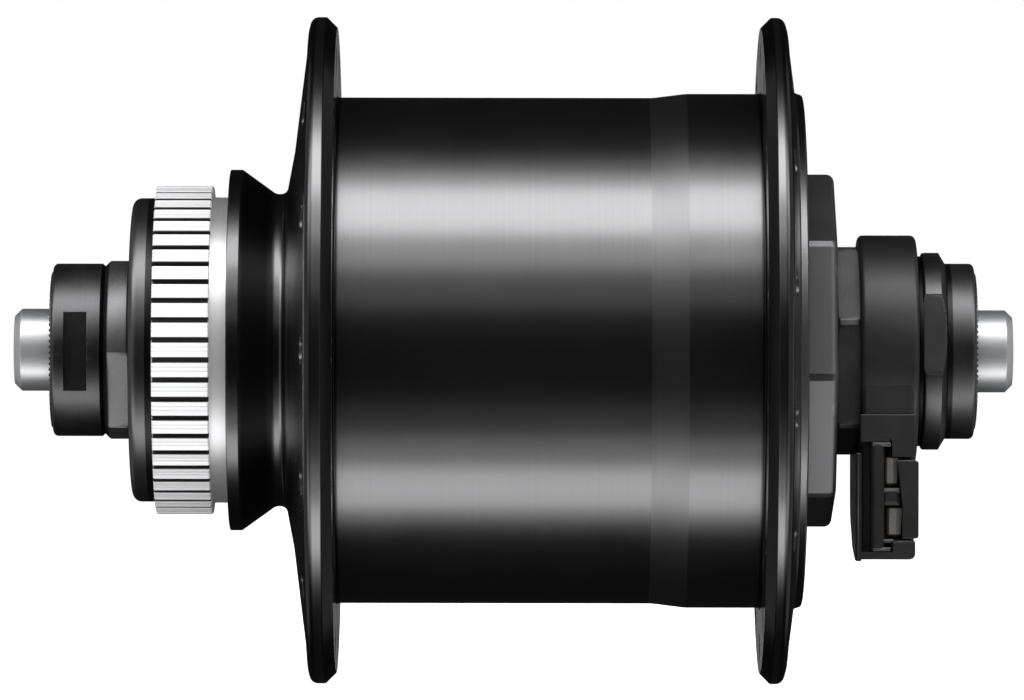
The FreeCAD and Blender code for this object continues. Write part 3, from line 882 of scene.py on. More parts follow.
@dataclass
class Bearings:
    """Cones, cups and balls of both bearings. Each race is an arc about the ball's centre."""

    ball_radius: float = 2.38125
    ball_rows: int = 17
    ball_columns: int = 32
    circle_radius: float = 9.0
    play: float = 0.03
    count: int = 10
    race_half_angle: float = 40.0
    race_points: int = 15
    cup_race: float = 135.0
    cone_race: float = -45.0
    cup_radius: float = CUP_SEAT
    cup_around: int = 128
    mouth: float = 2.2
    back: float = 2.84
    bore_radius: float = THREAD_BORE
    neck_radius: float = 8.6
    neck_lead: float = 0.6
    cone_around: int = 240
    head_ease: float = 0.15
    head_chamfer: float = 0.5
    rim_ease: Span = (0.2, 0.1)
    brake_groove: float = BRAKE_GROOVE
    brake_head: float = 3.1
    brake_head_end: float = 43.75
    brake_flat: float = 8.4
    brake_turn: float = -31.0
    groove_shade: float = 0.9
    collar_head: float = 2.3
    collar_chamfer: float = 0.05
    collar_radius: float = 11.55
    collar_flat: float = 10.15
    collar_turn: float = -14.4
    collar_shade: float = 0.42

    def build(self) -> None:
        """Makes both bearings."""
        self._bearing("brake_side", 1, Body.BRAKE_BALLS)
        self._bearing("connector_side", -1, Body.CONNECTOR_BALLS)

    def _race(self, centre: float, side: int, middle: float) -> Array:
        """Section of a race: an arc about the ball's centre, wider than the ball by the play.

        Args:
            centre: place of the balls along the axle.
            side: 1 on the brake side and -1 on the connector side.
            middle: angle of the arc's middle, in degrees.

        Returns:
            (y, radius) points.
        """
        angle = np.linspace(middle - self.race_half_angle, middle + self.race_half_angle, self.race_points)
        arc = np.column_stack([side * np.cos(np.radians(angle)), np.sin(np.radians(angle))])
        return np.array([centre, self.circle_radius]) + (self.ball_radius + self.play) * arc

    def _bearing(self, name: str, side: int, ball_body: Body) -> None:
        """Makes one bearing.

        Args:
            name: start of its nodes' names.
            side: 1 on the brake side and -1 on the connector side.
            ball_body: the body of its balls.
        """
        centre = sum(Place.of(name + "_balls").span) / 2
        stands_for(self._balls(centre), name + "_balls", BEARING_STEEL, ball_body)
        race = self._race(centre, side, self.cup_race)
        back = centre - side * self.back
        mouth = centre + side * self.mouth
        rim = [(mouth, race[0, 1]), (mouth, self.cup_radius), (back, self.cup_radius), (back, race[-1, 1])]
        cup = rows_of([*race[::-1], *rim])
        stands_for(lathe(cup, columns(self.cup_around)), name + "_cup", BEARING_STEEL, Body.SHELL)
        self._cone(name, side, centre)

    def _cone(self, name: str, side: int, centre: float) -> None:
        """Makes a cone: race, neck and head, with two spanner flats on the brake side and six on the other.

        Args:
            name: start of its node's name.
            side: 1 on the brake side and -1 on the connector side.
            centre: place of the balls along the axle.
        """
        place = Place.of(name + "_cone")
        if side > 0:
            start, square, outer = place.high.y - self.brake_head, self.brake_head_end, self.brake_groove
            radius, flat, end_flat = place.radius, self.brake_flat, ROUND
            sides, turn, shade, shaded_from = 2, self.brake_turn, self.groove_shade, square - TOUCH
        else:
            outer = place.low.y
            start, square = outer + self.collar_head, outer + self.collar_chamfer
            radius, flat, end_flat = self.collar_radius, self.collar_flat, self.collar_flat
            sides, turn, shade, shaded_from = 6, self.collar_turn, self.collar_shade, outer - TOUCH
        race = self._race(centre, side, self.cone_race)
        neck = [(race[-1, 0] + side * self.neck_lead, self.neck_radius), (start, self.neck_radius)]
        rim = (square, radius - self.rim_ease[1])
        head = [
            (start, radius - self.head_ease), (start + side * self.head_ease, radius),
            (square - side * self.rim_ease[0], radius), rim,
        ]
        rows = np.vstack([
            rows_of([(race[0, 0], self.bore_radius), *race, *neck]),
            rows_of(head, flat),
            rows_of([rim, (outer, radius - self.head_chamfer)], end_flat),
            rows_of([(outer, self.bore_radius)]),
        ])
        angles = columns(self.cone_around, turn, flat_edge(flat, radius), sides)
        skin = lathe(rows, angles, sides=sides, turn=turn)
        along, _ = skin.about_axle
        # The shade attribute paints shade on the brake cone's grooved end, and darkens the whole
        # connector-side cone.
        skin = skin.shaded(np.where(along > shaded_from, shade, 0.0))
        stands_for(skin, name + "_cone", CONE_STEEL, Body.AXLE)

    def _balls(self, centre: float) -> Skin:
        """Balls of a row: spheres of latitude and longitude round evenly spaced centres on the circle.

        Args:
            centre: place of the balls along the axle.

        Returns:
            The skin of all of them.
        """
        latitude = np.linspace(-math.pi / 2, math.pi / 2, self.ball_rows)[:, None]
        longitude = np.linspace(0, TURN, self.ball_columns, endpoint=False)
        sphere = self.ball_radius * np.stack(np.broadcast_arrays(
            np.cos(latitude) * np.cos(longitude), np.cos(latitude) * np.sin(longitude), np.sin(latitude)
        ), -1)
        turns = np.arange(self.count) * TURN / self.count
        centres = turned(centre, self.circle_radius, turns)
        return Skin.joined([Skin.grid(sphere + middle, wrap_columns=True) for middle in centres])


@dataclass(frozen=True)
class Flange:
    """One spoke flange, its inner face flat and its outer face of straight slopes.

    Attributes:
        inner: place of the inner face along the axle.
        rim_end: place of the rim's outer edge.
        slope: (place, radius) of each point of the outer face, from its root outwards.
        chamfer: chamfer from the inner face to the rim.
        first_hole: turn of the first spoke hole, in holes.
    """

    inner: float
    rim_end: float
    slope: tuple[Span, ...]
    chamfer: float
    first_hole: float

    @property
    def outwards(self) -> float:
        """Direction along the axle from the inner face to the outer one, 1 or -1."""
        return math.copysign(1.0, self.rim_end - self.inner)

    @property
    def shoulder(self) -> float:
        """Place where the chamfer meets the rim."""
        return self.inner + self.outwards * self.chamfer

    def face(self, radius: float | Array) -> float | Array:
        """Place of the outer face at a radius, on straight lines between the points of its slope."""
        y, r = np.array(self.slope).T
        return np.interp(radius, r, y)


@dataclass
class HubShell:
    """The one-piece shell: nose, disc seat, waisted neck, two drilled flanges and the wide barrel.

    The flange faces between pierced_inner and pierced_outer are made of sectors, one round each spoke hole.
    The rest is turned in strips that meet the sectors point for point. Points within rim_touch of the rim's
    radius count as the rim, which takes in the ends of its rounded edges.
    """

    brake: Flange = Flange(
        inner=19.1, rim_end=21.8, chamfer=1.14, first_hole=0.0,
        slope=((23.62, 21.8), (22.85, 28.0), (22.1, 34.0)),
    )
    connector: Flange = Flange(
        inner=-26.7, rim_end=-29.1, chamfer=1.1, first_hole=0.5,
        slope=((-30.3, 28.0), (-29.45, 34.4)),
    )
    holes: int = 14
    hole_circle: float = 32.0
    hole_radius: float = 1.3
    hole_bevel: float = 0.28
    hole_crowding: float = 1.5
    pierced_inner: float = 28.9
    pierced_outer: float = 34.9
    sector_columns: int = 16
    sector_rows: int = 7
    rim_radius: float = 36.1
    rim_touch: float = 0.02
    rim_rounds: tuple[float, float, float] = (0.9, 0.3, 0.1)
    barrel_radius: float = 27.4
    wide_radius: float = 27.85
    slope_start: float = -15.0
    slope_end: float = -18.6
    slope_bend: float = 6.0
    step_start: float = -14.55
    step_end: float = -18.67
    root_round: float = 0.3
    root_width: float = 0.6
    mouth_radius: float = 27.7
    bore_radius: float = COVER_SPIGOT
    end_wall: float = 17.1
    nose_bore: float = CUP_SEAT
    nose_radius: float = MOUNT_BORE
    nose_foot: float = MOUNT_FOOT
    ring_radius: float = MOUNT_SHOULDER
    seat: float = 30.65
    seat_foot: float = 29.35
    seat_radius: float = 19.55
    cone_high: float = 28.95
    cone_low: float = 26.5
    neck_high: float = 25.75
    neck_radius: float = 16.95
    neck_low: float = 24.55
    waist_radius: float = 16.9
    foot_high: float = 24.75
    foot_low: float = 20.1
    face_from: float = 28.4
    roots_to: float = 28.8
    edge_shade: float = 0.6
    rim_shade: float = 0.8
    root_shade: float = 0.88
    cone_shade: float = 0.62
    foot_shade: float = 0.62
    neck_shade: float = 0.22
    face_shade: float = 0.5

    def build(self) -> None:
        """Makes the shell."""
        around = self.holes * self.sector_columns
        angles = np.arange(around) * TURN / around
        strips = [self._rim(self.brake), self._rim(self.connector), self._inside(), self._barrel()]
        skins = [self._finished(lathe(rows_of(strip), angles, closed=False)) for strip in strips]
        skin = Skin.joined(skins + self._pierced(self.brake) + self._pierced(self.connector))
        y, radius = skin.about_axle
        step = (y < self.step_start) & (y > self.step_end) & (radius > self.bore_radius + TOUCH)
        stands_for(skin.patched(step), "hub_shell", ANODISED, Body.SHELL, STEP_BLACK)

    def _finished(self, skin: Skin) -> Skin:
        """The skin with painted shade that darkens its colour: none on the barrel and the rims' tops, more on
        other faces.

        A face is told by the radius and the place along the axle of its points.

        Args:
            skin: a turned strip of the shell.

        Returns:
            The shaded skin.
        """
        y, radius = skin.about_axle
        brake, connector = self.brake, self.connector
        root = self.root_width - TOUCH
        barrel = (y < brake.inner - root) & (y > connector.inner + root)
        between = (y < brake.inner + TOUCH) & (y > connector.inner - TOUCH)
        rim = radius > self.pierced_outer
        outward = (y > brake.shoulder) | (y < connector.shoulder)
        cone = (y > self.cone_low - TOUCH) & (y < self.cone_high + TOUCH) & (radius > self.neck_radius)
        foot = (y > self.foot_low) & (y < self.foot_high) & (radius < self.face_from)
        # Painted shade by place: darkest on the rims' chamfers and the flanges' roots, less on the rims'
        # outer rounding, the cone, the foot, the neck and the faces.
        shades = [
            (barrel | (radius > self.rim_radius - self.rim_touch), 0.0),
            (rim & outward, self.edge_shade),
            (rim, self.rim_shade),
            (between & (radius < self.roots_to), self.root_shade),
            (cone, self.cone_shade),
            (foot & (radius > self.nose_radius), self.foot_shade),
            (radius < self.face_from, self.neck_shade),
        ]
        places, values = zip(*shades)
        return skin.shaded(np.select(places, values, self.face_shade))

    def _rim(self, flange: Flange) -> Array:
        """Strip over a flange's rim, from the outer face to the inner one.

        Args:
            flange: the flange.

        Returns:
            (y, radius) points.
        """
        outer, middle, inner = self.rim_rounds
        return rounded([
            (flange.face(self.pierced_outer), self.pierced_outer, 0),
            (flange.rim_end, self.rim_radius, outer),
            (flange.shoulder, self.rim_radius, middle),
            (flange.inner, self.rim_radius - flange.chamfer, inner),
            (flange.inner, self.pierced_outer, 0),
        ], steps=6, closed=False)

    def _barrel(self) -> Array:
        """Strip from one flange's inner face over the barrel to the other's.

        Returns:
            (y, radius) points.
        """
        brake, connector = self.brake.inner, self.connector.inner
        return rounded([
            (brake, self.pierced_inner, 0),
            (brake, self.barrel_radius, self.root_round),
            (brake - self.root_width, self.barrel_radius, 0),
            (self.slope_start, self.barrel_radius, self.slope_bend),
            (self.slope_end, self.wide_radius, self.slope_bend),
            (connector + self.root_width, self.wide_radius, 0),
            (connector, self.wide_radius, self.root_round),
            (connector, self.pierced_inner, 0),
        ], steps=6, closed=False)

    def _inside(self) -> Array:
        """Strip from the connector-side face through mouth, bore, nose, disc seat and neck to the brake side.

        Returns:
            (y, radius) points.
        """
        low, high = Place.of("hub_shell").span
        inner = self.pierced_inner
        return rounded([
            (self.connector.face(inner), inner, 0),
            (*self.connector.slope[0], 0.2),
            (low, self.mouth_radius, 0.35),
            (low, self.bore_radius, 0.2),
            (self.end_wall, self.bore_radius, 0.5),
            (self.end_wall, self.nose_bore, 0.3),
            (high, self.nose_bore, 0.2),
            (high, self.nose_radius, 0.2),
            (self.nose_foot, self.nose_radius, 0),
            (self.nose_foot, self.ring_radius, 0),
            (self.seat, self.ring_radius, 0),
            (self.seat, self.seat_radius, 0.15),
            (self.seat_foot, self.seat_radius, 0.25),
            (self.cone_high, self._cone_radius(self.cone_high), 0),
            (self.cone_low, self._cone_radius(self.cone_low), 0),
            (self.neck_high, self.neck_radius, 0.9),
            (self.neck_low, self.waist_radius, 0.8),
            (*self.brake.slope[0], 9.0),
            (self.brake.face(inner), inner, 0),
        ], steps=7, closed=False)

    def _cone_radius(self, y: float) -> float:
        """Radius of the cone that rises in a straight line from the neck to the disc's seat."""
        return np.interp(y, (self.neck_high, self.seat_foot), (self.neck_radius, self.seat_radius))

    def _pierced(self, flange: Flange) -> list[Skin]:
        """Both faces of a flange with the holes through them.

        In the plane of the flange a sector's outline is a closed path of points along its two arcs and two
        sides. Each point looks at the hole's centre, and the ring of the hole has a point in that direction.
        The grid runs from the ring to the outline, closer together near the hole. The hole's wall joins the
        rings of both faces, with a bevel at each mouth.

        Args:
            flange: the flange.

        Returns:
            The skins.
        """
        width = TURN / self.holes
        steps = np.linspace(0, 1, self.sector_columns, endpoint=False)
        still = np.ones(self.sector_columns)
        low, rise = self.pierced_inner, self.pierced_outer - self.pierced_inner
        angle = width / 2 * np.concatenate([2 * steps - 1, still, 1 - 2 * steps, -still])
        radius = low + rise * np.concatenate([0 * still, steps, still, 1 - steps])
        outline = np.column_stack([radius * np.cos(angle), radius * np.sin(angle)])
        centre = np.array([self.hole_circle, 0.0])
        look = outline - centre
        ring = look / np.linalg.norm(look, axis=1, keepdims=True)
        share = np.linspace(0, 1, self.sector_rows)[:, None, None] ** self.hole_crowding
        start = centre + (self.hole_radius + self.hole_bevel) * ring
        wall = centre + self.hole_radius * ring
        flat = start + share * (outline - start)
        outer = flange.face(np.linalg.norm(flat, axis=2))
        inner = np.full_like(outer, flange.inner)
        bevel = flange.outwards * self.hole_bevel
        ends = [flange.face(self.hole_circle) - bevel, flange.inner + bevel]
        depth = np.stack([outer[0], *(end * np.ones(len(ring)) for end in ends), inner[0]])
        tube = np.stack([start, wall, wall, start])
        spins = (np.arange(self.holes) + flange.first_hole) * width
        grids = [(flat, outer), (flat, inner), (tube, depth)]
        return [self._spun(points, y, spin) for spin in spins for points, y in grids]

    def _spun(self, flat: Array, y: Array, spin: float) -> Skin:
        """Skin of a grid in the flange's plane, turned about the axle and set at its places along it.

        Args:
            flat: (rows, columns, 2) points of the plane.
            y: (rows, columns) places along the axle.
            spin: the turn in radians.

        Returns:
            The skin.
        """
        angle = np.arctan2(flat[..., 1], flat[..., 0]) + spin
        points = turned(y, np.hypot(flat[..., 0], flat[..., 1]), angle)
        # The flange faces take the faces' painted shade.
        return Skin.grid(points, wrap_columns=True).shaded(self.face_shade)


@dataclass
class DiscMount:
    """The splined ring that carries the brake disc, and the cap outside it."""

    teeth: int = 52
    root_radius: float = 17.0
    tooth_height: float = 0.8
    gap_share: float = 0.24
    edge: float = 0.09
    wall_share: float = 0.004
    crest_lift: float = 0.02
    crest_groove: float = 0.024
    marks: Span = (0.44, 0.64)
    mark_width: float = 0.04
    end_bevel: float = 0.12
    spline_low: float = 32.5
    spline_high: float = 38.6
    foot: float = MOUNT_FOOT
    shoulder_radius: float = MOUNT_SHOULDER
    bore_radius: float = MOUNT_BORE
    land_from: float = 0.9
    slot_shade: float = 0.97
    mark_shade: float = 0.32
    cap_growth: float = 0.1
    cap_bore: float = SEAL_OPENING
    cap_round: float = 0.95
    cap_around: int = 240
    lip_edge: float = 39.35
    lip_fade: float = 0.06
    lip_shade: float = 0.8

    def build(self) -> None:
        """Makes the ring and the cap."""
        stands_for(self._ring(), "disc_spline_ring", BRIGHT_RING, Body.SHELL, SPLINE_CREST)
        place = Place.of("dust_cap")
        low, high = place.span
        outer = place.radius + self.cap_growth
        section = rounded([
            (low, self.cap_bore, 0.2), (low, outer, 0.15),
            (self.lip_edge, outer, 0), (self.lip_edge + self.lip_fade, outer, 0),
            (high, outer, self.cap_round), (high, self.cap_bore, 0.3),
        ], steps=6)
        cap = lathe(rows_of(section), columns(self.cap_around))
        y, _ = cap.about_axle
        # Painted shade: a dark band on the cap's lip next to the splines.
        shade = np.where(y < self.lip_edge + TOUCH, self.lip_shade, 0.0)
        stands_for(cap.shaded(shade), "dust_cap", CAP_BLACK, Body.SHELL)

    def _ring(self) -> Skin:
        """Ring with teeth: at each row the radius is its base plus its share of the tooth outline.

        One pitch of the outline is a slot floor, an eased wall up, a crest as flat as a milled land with two
        shallow tool marks, and a wall down. Floor and crest are chords, so each land is a plane.

        Returns:
            The skin.
        """
        pitch = TURN / self.teeth
        gap = self.gap_share / 2
        ease = self.edge / (pitch * self.root_radius)
        marks = [mark + step for mark in self.marks for step in (-self.mark_width, 0.0, self.mark_width)]
        crest = np.array([gap + ease, *marks, 1 - gap - ease])
        grooved = np.isin(crest, self.marks)
        wall = gap + self.wall_share
        part = np.array([-gap, gap, wall, *crest, 1 - wall])
        crest_radius = self.root_radius + self.tooth_height
        chord = crest_radius * (math.cos((0.5 - gap) * pitch) / np.cos((crest - 0.5) * pitch) - 1)
        land = 1 + (chord - self.crest_groove * grooved + self.crest_lift) / self.tooth_height
        eased = 1 - self.edge / self.tooth_height
        tooth = np.tile([0, 0, eased, *land, eased], self.teeth)
        angle = ((np.arange(self.teeth)[:, None] - 0.5 + part) * pitch).ravel()
        low, high, bevel, root = self.spline_low, self.spline_high, self.end_bevel, self.root_radius
        short = 1 - bevel / self.tooth_height
        y, base, share = np.array([
            (self.foot, self.bore_radius, 0), (self.foot, self.shoulder_radius, 0),
            (low, self.shoulder_radius, 0), (low, root, 0), (low, root, short), (low + bevel, root, 1),
            (high - bevel, root, 1), (high, root, short), (high, root, 0), (high, self.bore_radius, 0),
        ]).T[:, :, None]
        radius = base + share * self.tooth_height * tooth
        # Painted shade: the slot floors and walls are darkened nearly to black, and the tool-mark grooves on
        # the crests a little.
        marked = np.tile([False, False, False, *grooved, False], self.teeth)
        dark = np.select([tooth < self.land_from, marked], [self.slot_shade, self.mark_shade], 0.0)
        toothed = np.broadcast_to(base == root, radius.shape)
        skin = Skin.grid(turned(y, radius, angle), wrap_rows=True, wrap_columns=True)
        return skin.shaded((dark * (share > 0)).ravel()).patched(toothed.ravel())


@dataclass
class EndCover:
    """The screwed-in cover with its octagon."""

    sides: int = 8
    corner_radius: float = 19.4
    corner_ease: float = 0.15
    edge_round: float = 0.85
    edge_rows: int = 7
    octagon_foot: float = -31.2
    turn: float = -8.4
    spigot_radius: float = COVER_SPIGOT
    pocket_radius: float = CUP_SEAT
    lip: float = 2.2
    mouth_radius: float = SEAL_OPENING
    mouth_round: float = 0.3
    mouth_land: float = 3.0
    around: int = 240

    def build(self) -> None:
        """Makes the cover, the edge of its octagon a quarter of a circle."""
        face, inner = Place.of("end_cover").span
        apothem = self.corner_radius * math.cos(math.pi / self.sides)
        corner = self.corner_radius - self.corner_ease
        t = np.linspace(0, math.pi / 2, self.edge_rows)
        inset = self.edge_round * (1 - np.cos(t))
        edge = rows_of(np.column_stack([face + self.edge_round * (1 - np.sin(t)), corner - inset]))
        edge[:, 2] = apothem - inset
        lip = face + self.lip
        mouth = rounded([
            (face, self.mouth_radius + self.mouth_land, 0), (face, self.mouth_radius, self.mouth_round),
            (lip, self.mouth_radius, 0), (lip, self.pocket_radius, 0), (inner, self.pocket_radius, 0),
            (inner, self.spigot_radius, 0), (self.octagon_foot, self.spigot_radius, 0),
        ], closed=False)
        rows = np.vstack([rows_of([(self.octagon_foot, corner)], apothem), edge, rows_of(mouth)])
        middle = self.turn + 180 / self.sides
        angles = columns(self.around, middle, flat_edge(apothem, corner), self.sides)
        skin = lathe(rows, angles, sides=self.sides, turn=middle)
        stands_for(skin, "end_cover", COVER_BLACK, Body.SHELL)


@dataclass(frozen=True)
class Moulding:
    """One rectangular form of the socket.

    Attributes:
        depth: front and back, along X.
        along: low and high side, along Y.
        height: bottom and top.
        corner: radius of its corners.
        bevel: bevel round its front.
    """

    depth: Span
    along: Span
    height: Span
    corner: float = 0.15
    bevel: float = 0.12

    def skin(self) -> Skin:
        """The form's surface.

        Returns:
            The skin.
        """
        low, high = np.array([self.along, self.height]).T
        corner = max(self.corner - self.bevel, SMALLEST_CORNER)
        inset = rectangle(low + self.bevel, high - self.bevel, corner)
        return bevelled(rectangle(low, high, self.corner), inset, self.depth, self.bevel)


@dataclass(frozen=True)
class Slab:
    """Plate of a rounded outline square to X.

    Attributes:
        corners: (first, second, arc radius) of each corner.
        span: front and back.
        bevel: bevel of its front and back edges.
    """

    corners: Corners
    span: Span
    bevel: float = 0.1

    def skin(self) -> Skin:
        """The plate's surface, its outline drawn in towards its middle by the bevel at both ends.

        Returns:
            The skin.
        """
        outline = rounded(self.corners, steps=5)
        middle = (outline.min(0) + outline.max(0)) / 2
        inset = middle + (outline - middle) * (1 - 2 * self.bevel / np.ptp(outline, axis=0))
        return bevelled(outline, inset, self.span, self.bevel)


@dataclass(frozen=True)
class Blade:
    """One contact blade. Its front is folded into a narrow face and a wider one, and it widens upwards.

    Attributes:
        along: low and high side, along Y.
        height: bottom and top.
        front: its front, along X.
        back: its back.
        fold: place of the fold, as a share of the width.
        taper: how much narrower its foot is, as a share of the width.
        narrow_depth: how far back the narrow face's side lies.
        wide_depth: how far back the wide face's side lies.
        corner: depth and width of the wide side's corner.
        foot: height of the rounded foot, and share of the outline at its end.
        head: the same for the rounded head.
    """

    along: Span
    height: Span
    front: float = -11.6
    back: float = -3.0
    fold: float = 0.42
    taper: float = 0.14
    narrow_depth: float = 0.35
    wide_depth: float = 0.12
    corner: Span = (0.5, 0.2)
    foot: Span = (0.25, 0.75)
    head: Span = (0.15, 0.8)

    def skin(self) -> Skin:
        """The blade's surface: its outline at four heights, drawn in at the lowest and the highest.

        Returns:
            The skin.
        """
        (low, high), (bottom, top) = self.along, self.height
        width = high - low
        fold = low + self.fold * width
        ring = np.array([
            (self.back, low), (self.front + self.narrow_depth, low), (self.front, fold),
            (self.front + self.wide_depth, high - self.corner[1]), (self.front + self.corner[0], high),
            (self.back, high),
        ])
        middle = ring.mean(0)
        z = np.array([bottom, bottom + self.foot[0], top - self.head[0], top])[:, None]
        share = np.array([self.foot[1], 1.0, 1.0, self.head[1]])[:, None, None]
        x, y = np.moveaxis(middle + (ring - middle) * share, 2, 0)
        y = y + (top - z) / (top - bottom) * self.taper * width * (ring[:, 1] < fold)
        return capped(np.stack(np.broadcast_arrays(x, y, z), -1))


@dataclass
class Connector:
    """The moulded block on the axle, with the open socket of the lamp lead and its two blades."""

    hub_insets: Span = (0.4, 0.7)
    hub_around: int = 160
    edge_round: float = 0.6
    bore_radius: float = THREAD_BORE
    hub_radius: float = 12.55
    fin: Slab = Slab((
        (-12.3, -22.5, 0.15), (-10.5, -22.5, 3.0), (-3.0, -21.3, 6.0), (4.0, -17.8, 3.0), (4.0, -10.9, 0.3),
        (-12.3, -10.9, 0.15),
    ), (-37.3, -36.65), 0.12)
    plates: tuple[Slab, ...] = (
        Slab((
            (-43.4, -20.05, 0.3), (-41.65, -20.05, 0.1), (-41.7, -17.0, 1.0), (-41.1, -11.7, 0.1),
            (-43.4, -11.7, 0.3),
        ), (-12.4, 4.0)),
        Slab((
            (-43.0, -6.75, 0.1), (-37.15, -6.75, 0.1), (-37.15, -9.7, 0.1), (-40.6, -9.7, 0.05),
            (-40.6, -11.3, 0.05), (-43.0, -11.3, 0.1),
        ), (-12.3, 4.0)),
        Slab((
            (-43.05, -20.4, 0.1), (-40.65, -20.4, 0.05), (-40.65, -21.5, 0.05), (-37.15, -21.5, 0.1),
            (-37.15, -22.3, 0.2), (-43.05, -22.3, 0.6),
        ), (-12.3, 4.0)),
    )
    mouldings: tuple[Moulding, ...] = (
        Moulding((-12.0, -3.0), (-42.9, -37.45), (-7.0, 0.0), corner=0.3, bevel=0.3),
        Moulding((-9.0, 8.0), (-43.05, -37.25), (-22.3, -6.0), corner=0.5, bevel=0.3),
        Moulding((-12.35, -8.0), (-39.7, -38.35), (-21.4, -9.6), bevel=0.3),
        Moulding((-12.1, -8.0), (-41.45, -39.5), (-16.5, -14.65), corner=0.1, bevel=0.4),
    )
    # Thin strips along the socket's edges, in the lighter plastic: painted highlights.
    edges: tuple[Moulding, ...] = (
        Moulding((-12.6, -11.0), (-36.98, -36.84), (-22.2, -11.0), corner=0.05, bevel=0.05),
        Moulding((-12.45, -11.0), (-40.5, -38.45), (-10.2, -9.75), corner=0.1, bevel=0.22),
        Moulding((-12.45, -11.0), (-40.45, -38.5), (-21.45, -21.0), corner=0.1, bevel=0.22),
        Moulding((-12.15, -10.0), (-41.35, -39.6), (-15.15, -14.65), corner=0.1, bevel=0.2),
        Moulding((-12.2, -10.0), (-40.75, -39.5), (-20.5, -20.12), corner=0.1, bevel=0.18),
        Moulding((-12.4, -10.0), (-43.1, -41.1), (-11.8, -11.67), corner=0.03, bevel=0.03),
        Moulding((-12.27, -10.0), (-43.0, -40.75), (-20.42, -20.3), corner=0.03, bevel=0.03),
    )
    upper: Blade = Blade((-41.25, -39.85), (-14.4, -11.3))
    lower: Blade = Blade((-41.7, -40.1), (-19.85, -16.7))

    def build(self) -> None:
        """Makes the block and the blades. The fin is a plate square to the axle instead of X."""
        low, high = Place.of("connector_block").span
        hub = (low + self.hub_insets[0], high - self.hub_insets[1])
        section = collar(hub, self.bore_radius, self.hub_radius, self.edge_round, steps=5)
        fin = self.fin.skin()
        fin = replace(fin, points=fin.points[:, [1, 0, 2]])
        skins = [lathe(rows_of(section), columns(self.hub_around)), fin]
        skins += [form.skin() for form in self.plates + self.mouldings]
        # The edge strips take the second, lighter finish: painted highlights.
        lit_strips = Skin.joined([edge.skin() for edge in self.edges])
        skins.append(replace(lit_strips, patch=np.ones_like(lit_strips.patch)))
        stands_for(Skin.joined(skins), "connector_block", BLOCK_PLASTIC, Body.AXLE, EDGE_HIGHLIGHT_PLASTIC)
        stands_for(self.upper.skin(), "upper_terminal_blade", CONTACT, Body.AXLE)
        stands_for(self.lower.skin(), "lower_terminal_blade", CONTACT, Body.AXLE)


@dataclass
class Stator:
    """The still half of the generator. Its winding is made here, the rest is kept from the frame."""

    wire: float = 0.56
    rows_per_wire: int = 5
    around: int = 96
    barrel_radius: float = 10.4
    kept: tuple[tuple[str, Finish], ...] = (
        ("stator_core", LAMINATION),
        ("brake_side_claw_yoke", LAMINATION),
        ("connector_side_claw_yoke", LAMINATION),
        ("coil_bobbin", NYLON),
        ("stator_nuts", ZINC),
        ("stator_lead", INSULATION),
    )

    def build(self) -> None:
        """Makes the winding, whose radius dips by half a wire between turns, and dresses the rest."""
        place = Place.of("coil_winding")
        low, high = place.span
        count = int((high - low) / self.wire) * self.rows_per_wire
        y = np.linspace(low, high, count)
        hump = np.abs(np.sin(math.pi * (y - low) / self.wire))
        outer = np.column_stack([y, place.radius - self.wire / 2 * (1 - hump)])
        rows = rows_of([*outer, (high, self.barrel_radius), (low, self.barrel_radius)])
        stands_for(lathe(rows, columns(self.around)), "coil_winding", COPPER, Body.AXLE)
        for node, finish in self.kept:
            dress(node, finish)


@dataclass
class Rotor:
    """The turning half of the generator, kept from the frame."""

    kept: tuple[tuple[str, Finish], ...] = (("magnet_back_ring", LAMINATION), ("rotor_magnets", FERRITE))

    def build(self) -> None:
        """Dresses the back ring and the magnets."""
        for node, finish in self.kept:
            dress(node, finish)


@dataclass(frozen=True)
class Softbox:
    """A soft light that faces the hub.

    Attributes:
        name: its name.
        elevation: its middle, in degrees round the axle from the camera's side, up.
        spread: how wide it looks from the hub, in degrees.
        radiance: how bright its surface is.
        azimuth: turn towards the brake side, in degrees.
        length: its length along the axle, or upwards where it is turned aside, in metres.
        mirrored: whether glossy surfaces show it.
        reach: its distance, in metres.
    """

    name: str
    elevation: float
    spread: float
    radiance: float
    azimuth: float = 0.0
    length: float = 2.6
    mirrored: bool = True
    reach: float = 0.9

    def light(self) -> bpy.types.Object:
        """Makes the light, its power worked out from its brightness and area.

        Returns:
            The light's object, not yet in the scene.
        """
        width = 2 * self.reach * math.tan(math.radians(self.spread) / 2)
        data = bpy.data.lights.new(self.name, "AREA")
        data.shape = "RECTANGLE"
        data.size = width
        data.size_y = self.length
        data.energy = self.radiance * math.pi * width * self.length
        up, aside = math.radians(self.elevation), math.radians(self.azimuth)
        away = Vector((-math.cos(up) * math.cos(aside), math.sin(aside), math.sin(up) * math.cos(aside)))
        across = Vector((0, 0, 1) if self.azimuth else (0, 1, 0)).cross(away).normalized()
        lamp = bpy.data.objects.new(self.name, data)
        lamp.location = away * self.reach
        lamp.rotation_euler = Matrix((across, away.cross(across), away)).transposed().to_euler()
        lamp.visible_glossy = self.mirrored
        lamp.visible_camera = False
        return lamp


STUDIO_LIGHTS = (
    Softbox("top_core", 66.0, 24.5, 2.4),
    Softbox("top_middle", 62.0, 50.0, 0.90),
    Softbox("top_wide", 58.0, 78.0, 0.24),
    Softbox("low_core", -64.5, 21.5, 1.46),
    Softbox("low_middle", -61.0, 44.0, 0.43),
    Softbox("low_wide", -56.0, 64.0, 0.09),
    Softbox("front_fill", 5.0, 60.0, 2.4, length=1.2, mirrored=False),
    Softbox("brake_end", 0.0, 104.0, 0.24, azimuth=90.0, length=2.3),
    Softbox("behind", 180.0, 10.0, 0.7, length=0.09),
    Softbox("connector_end", 0.0, 104.0, 0.24, azimuth=-90.0, length=2.3),
)


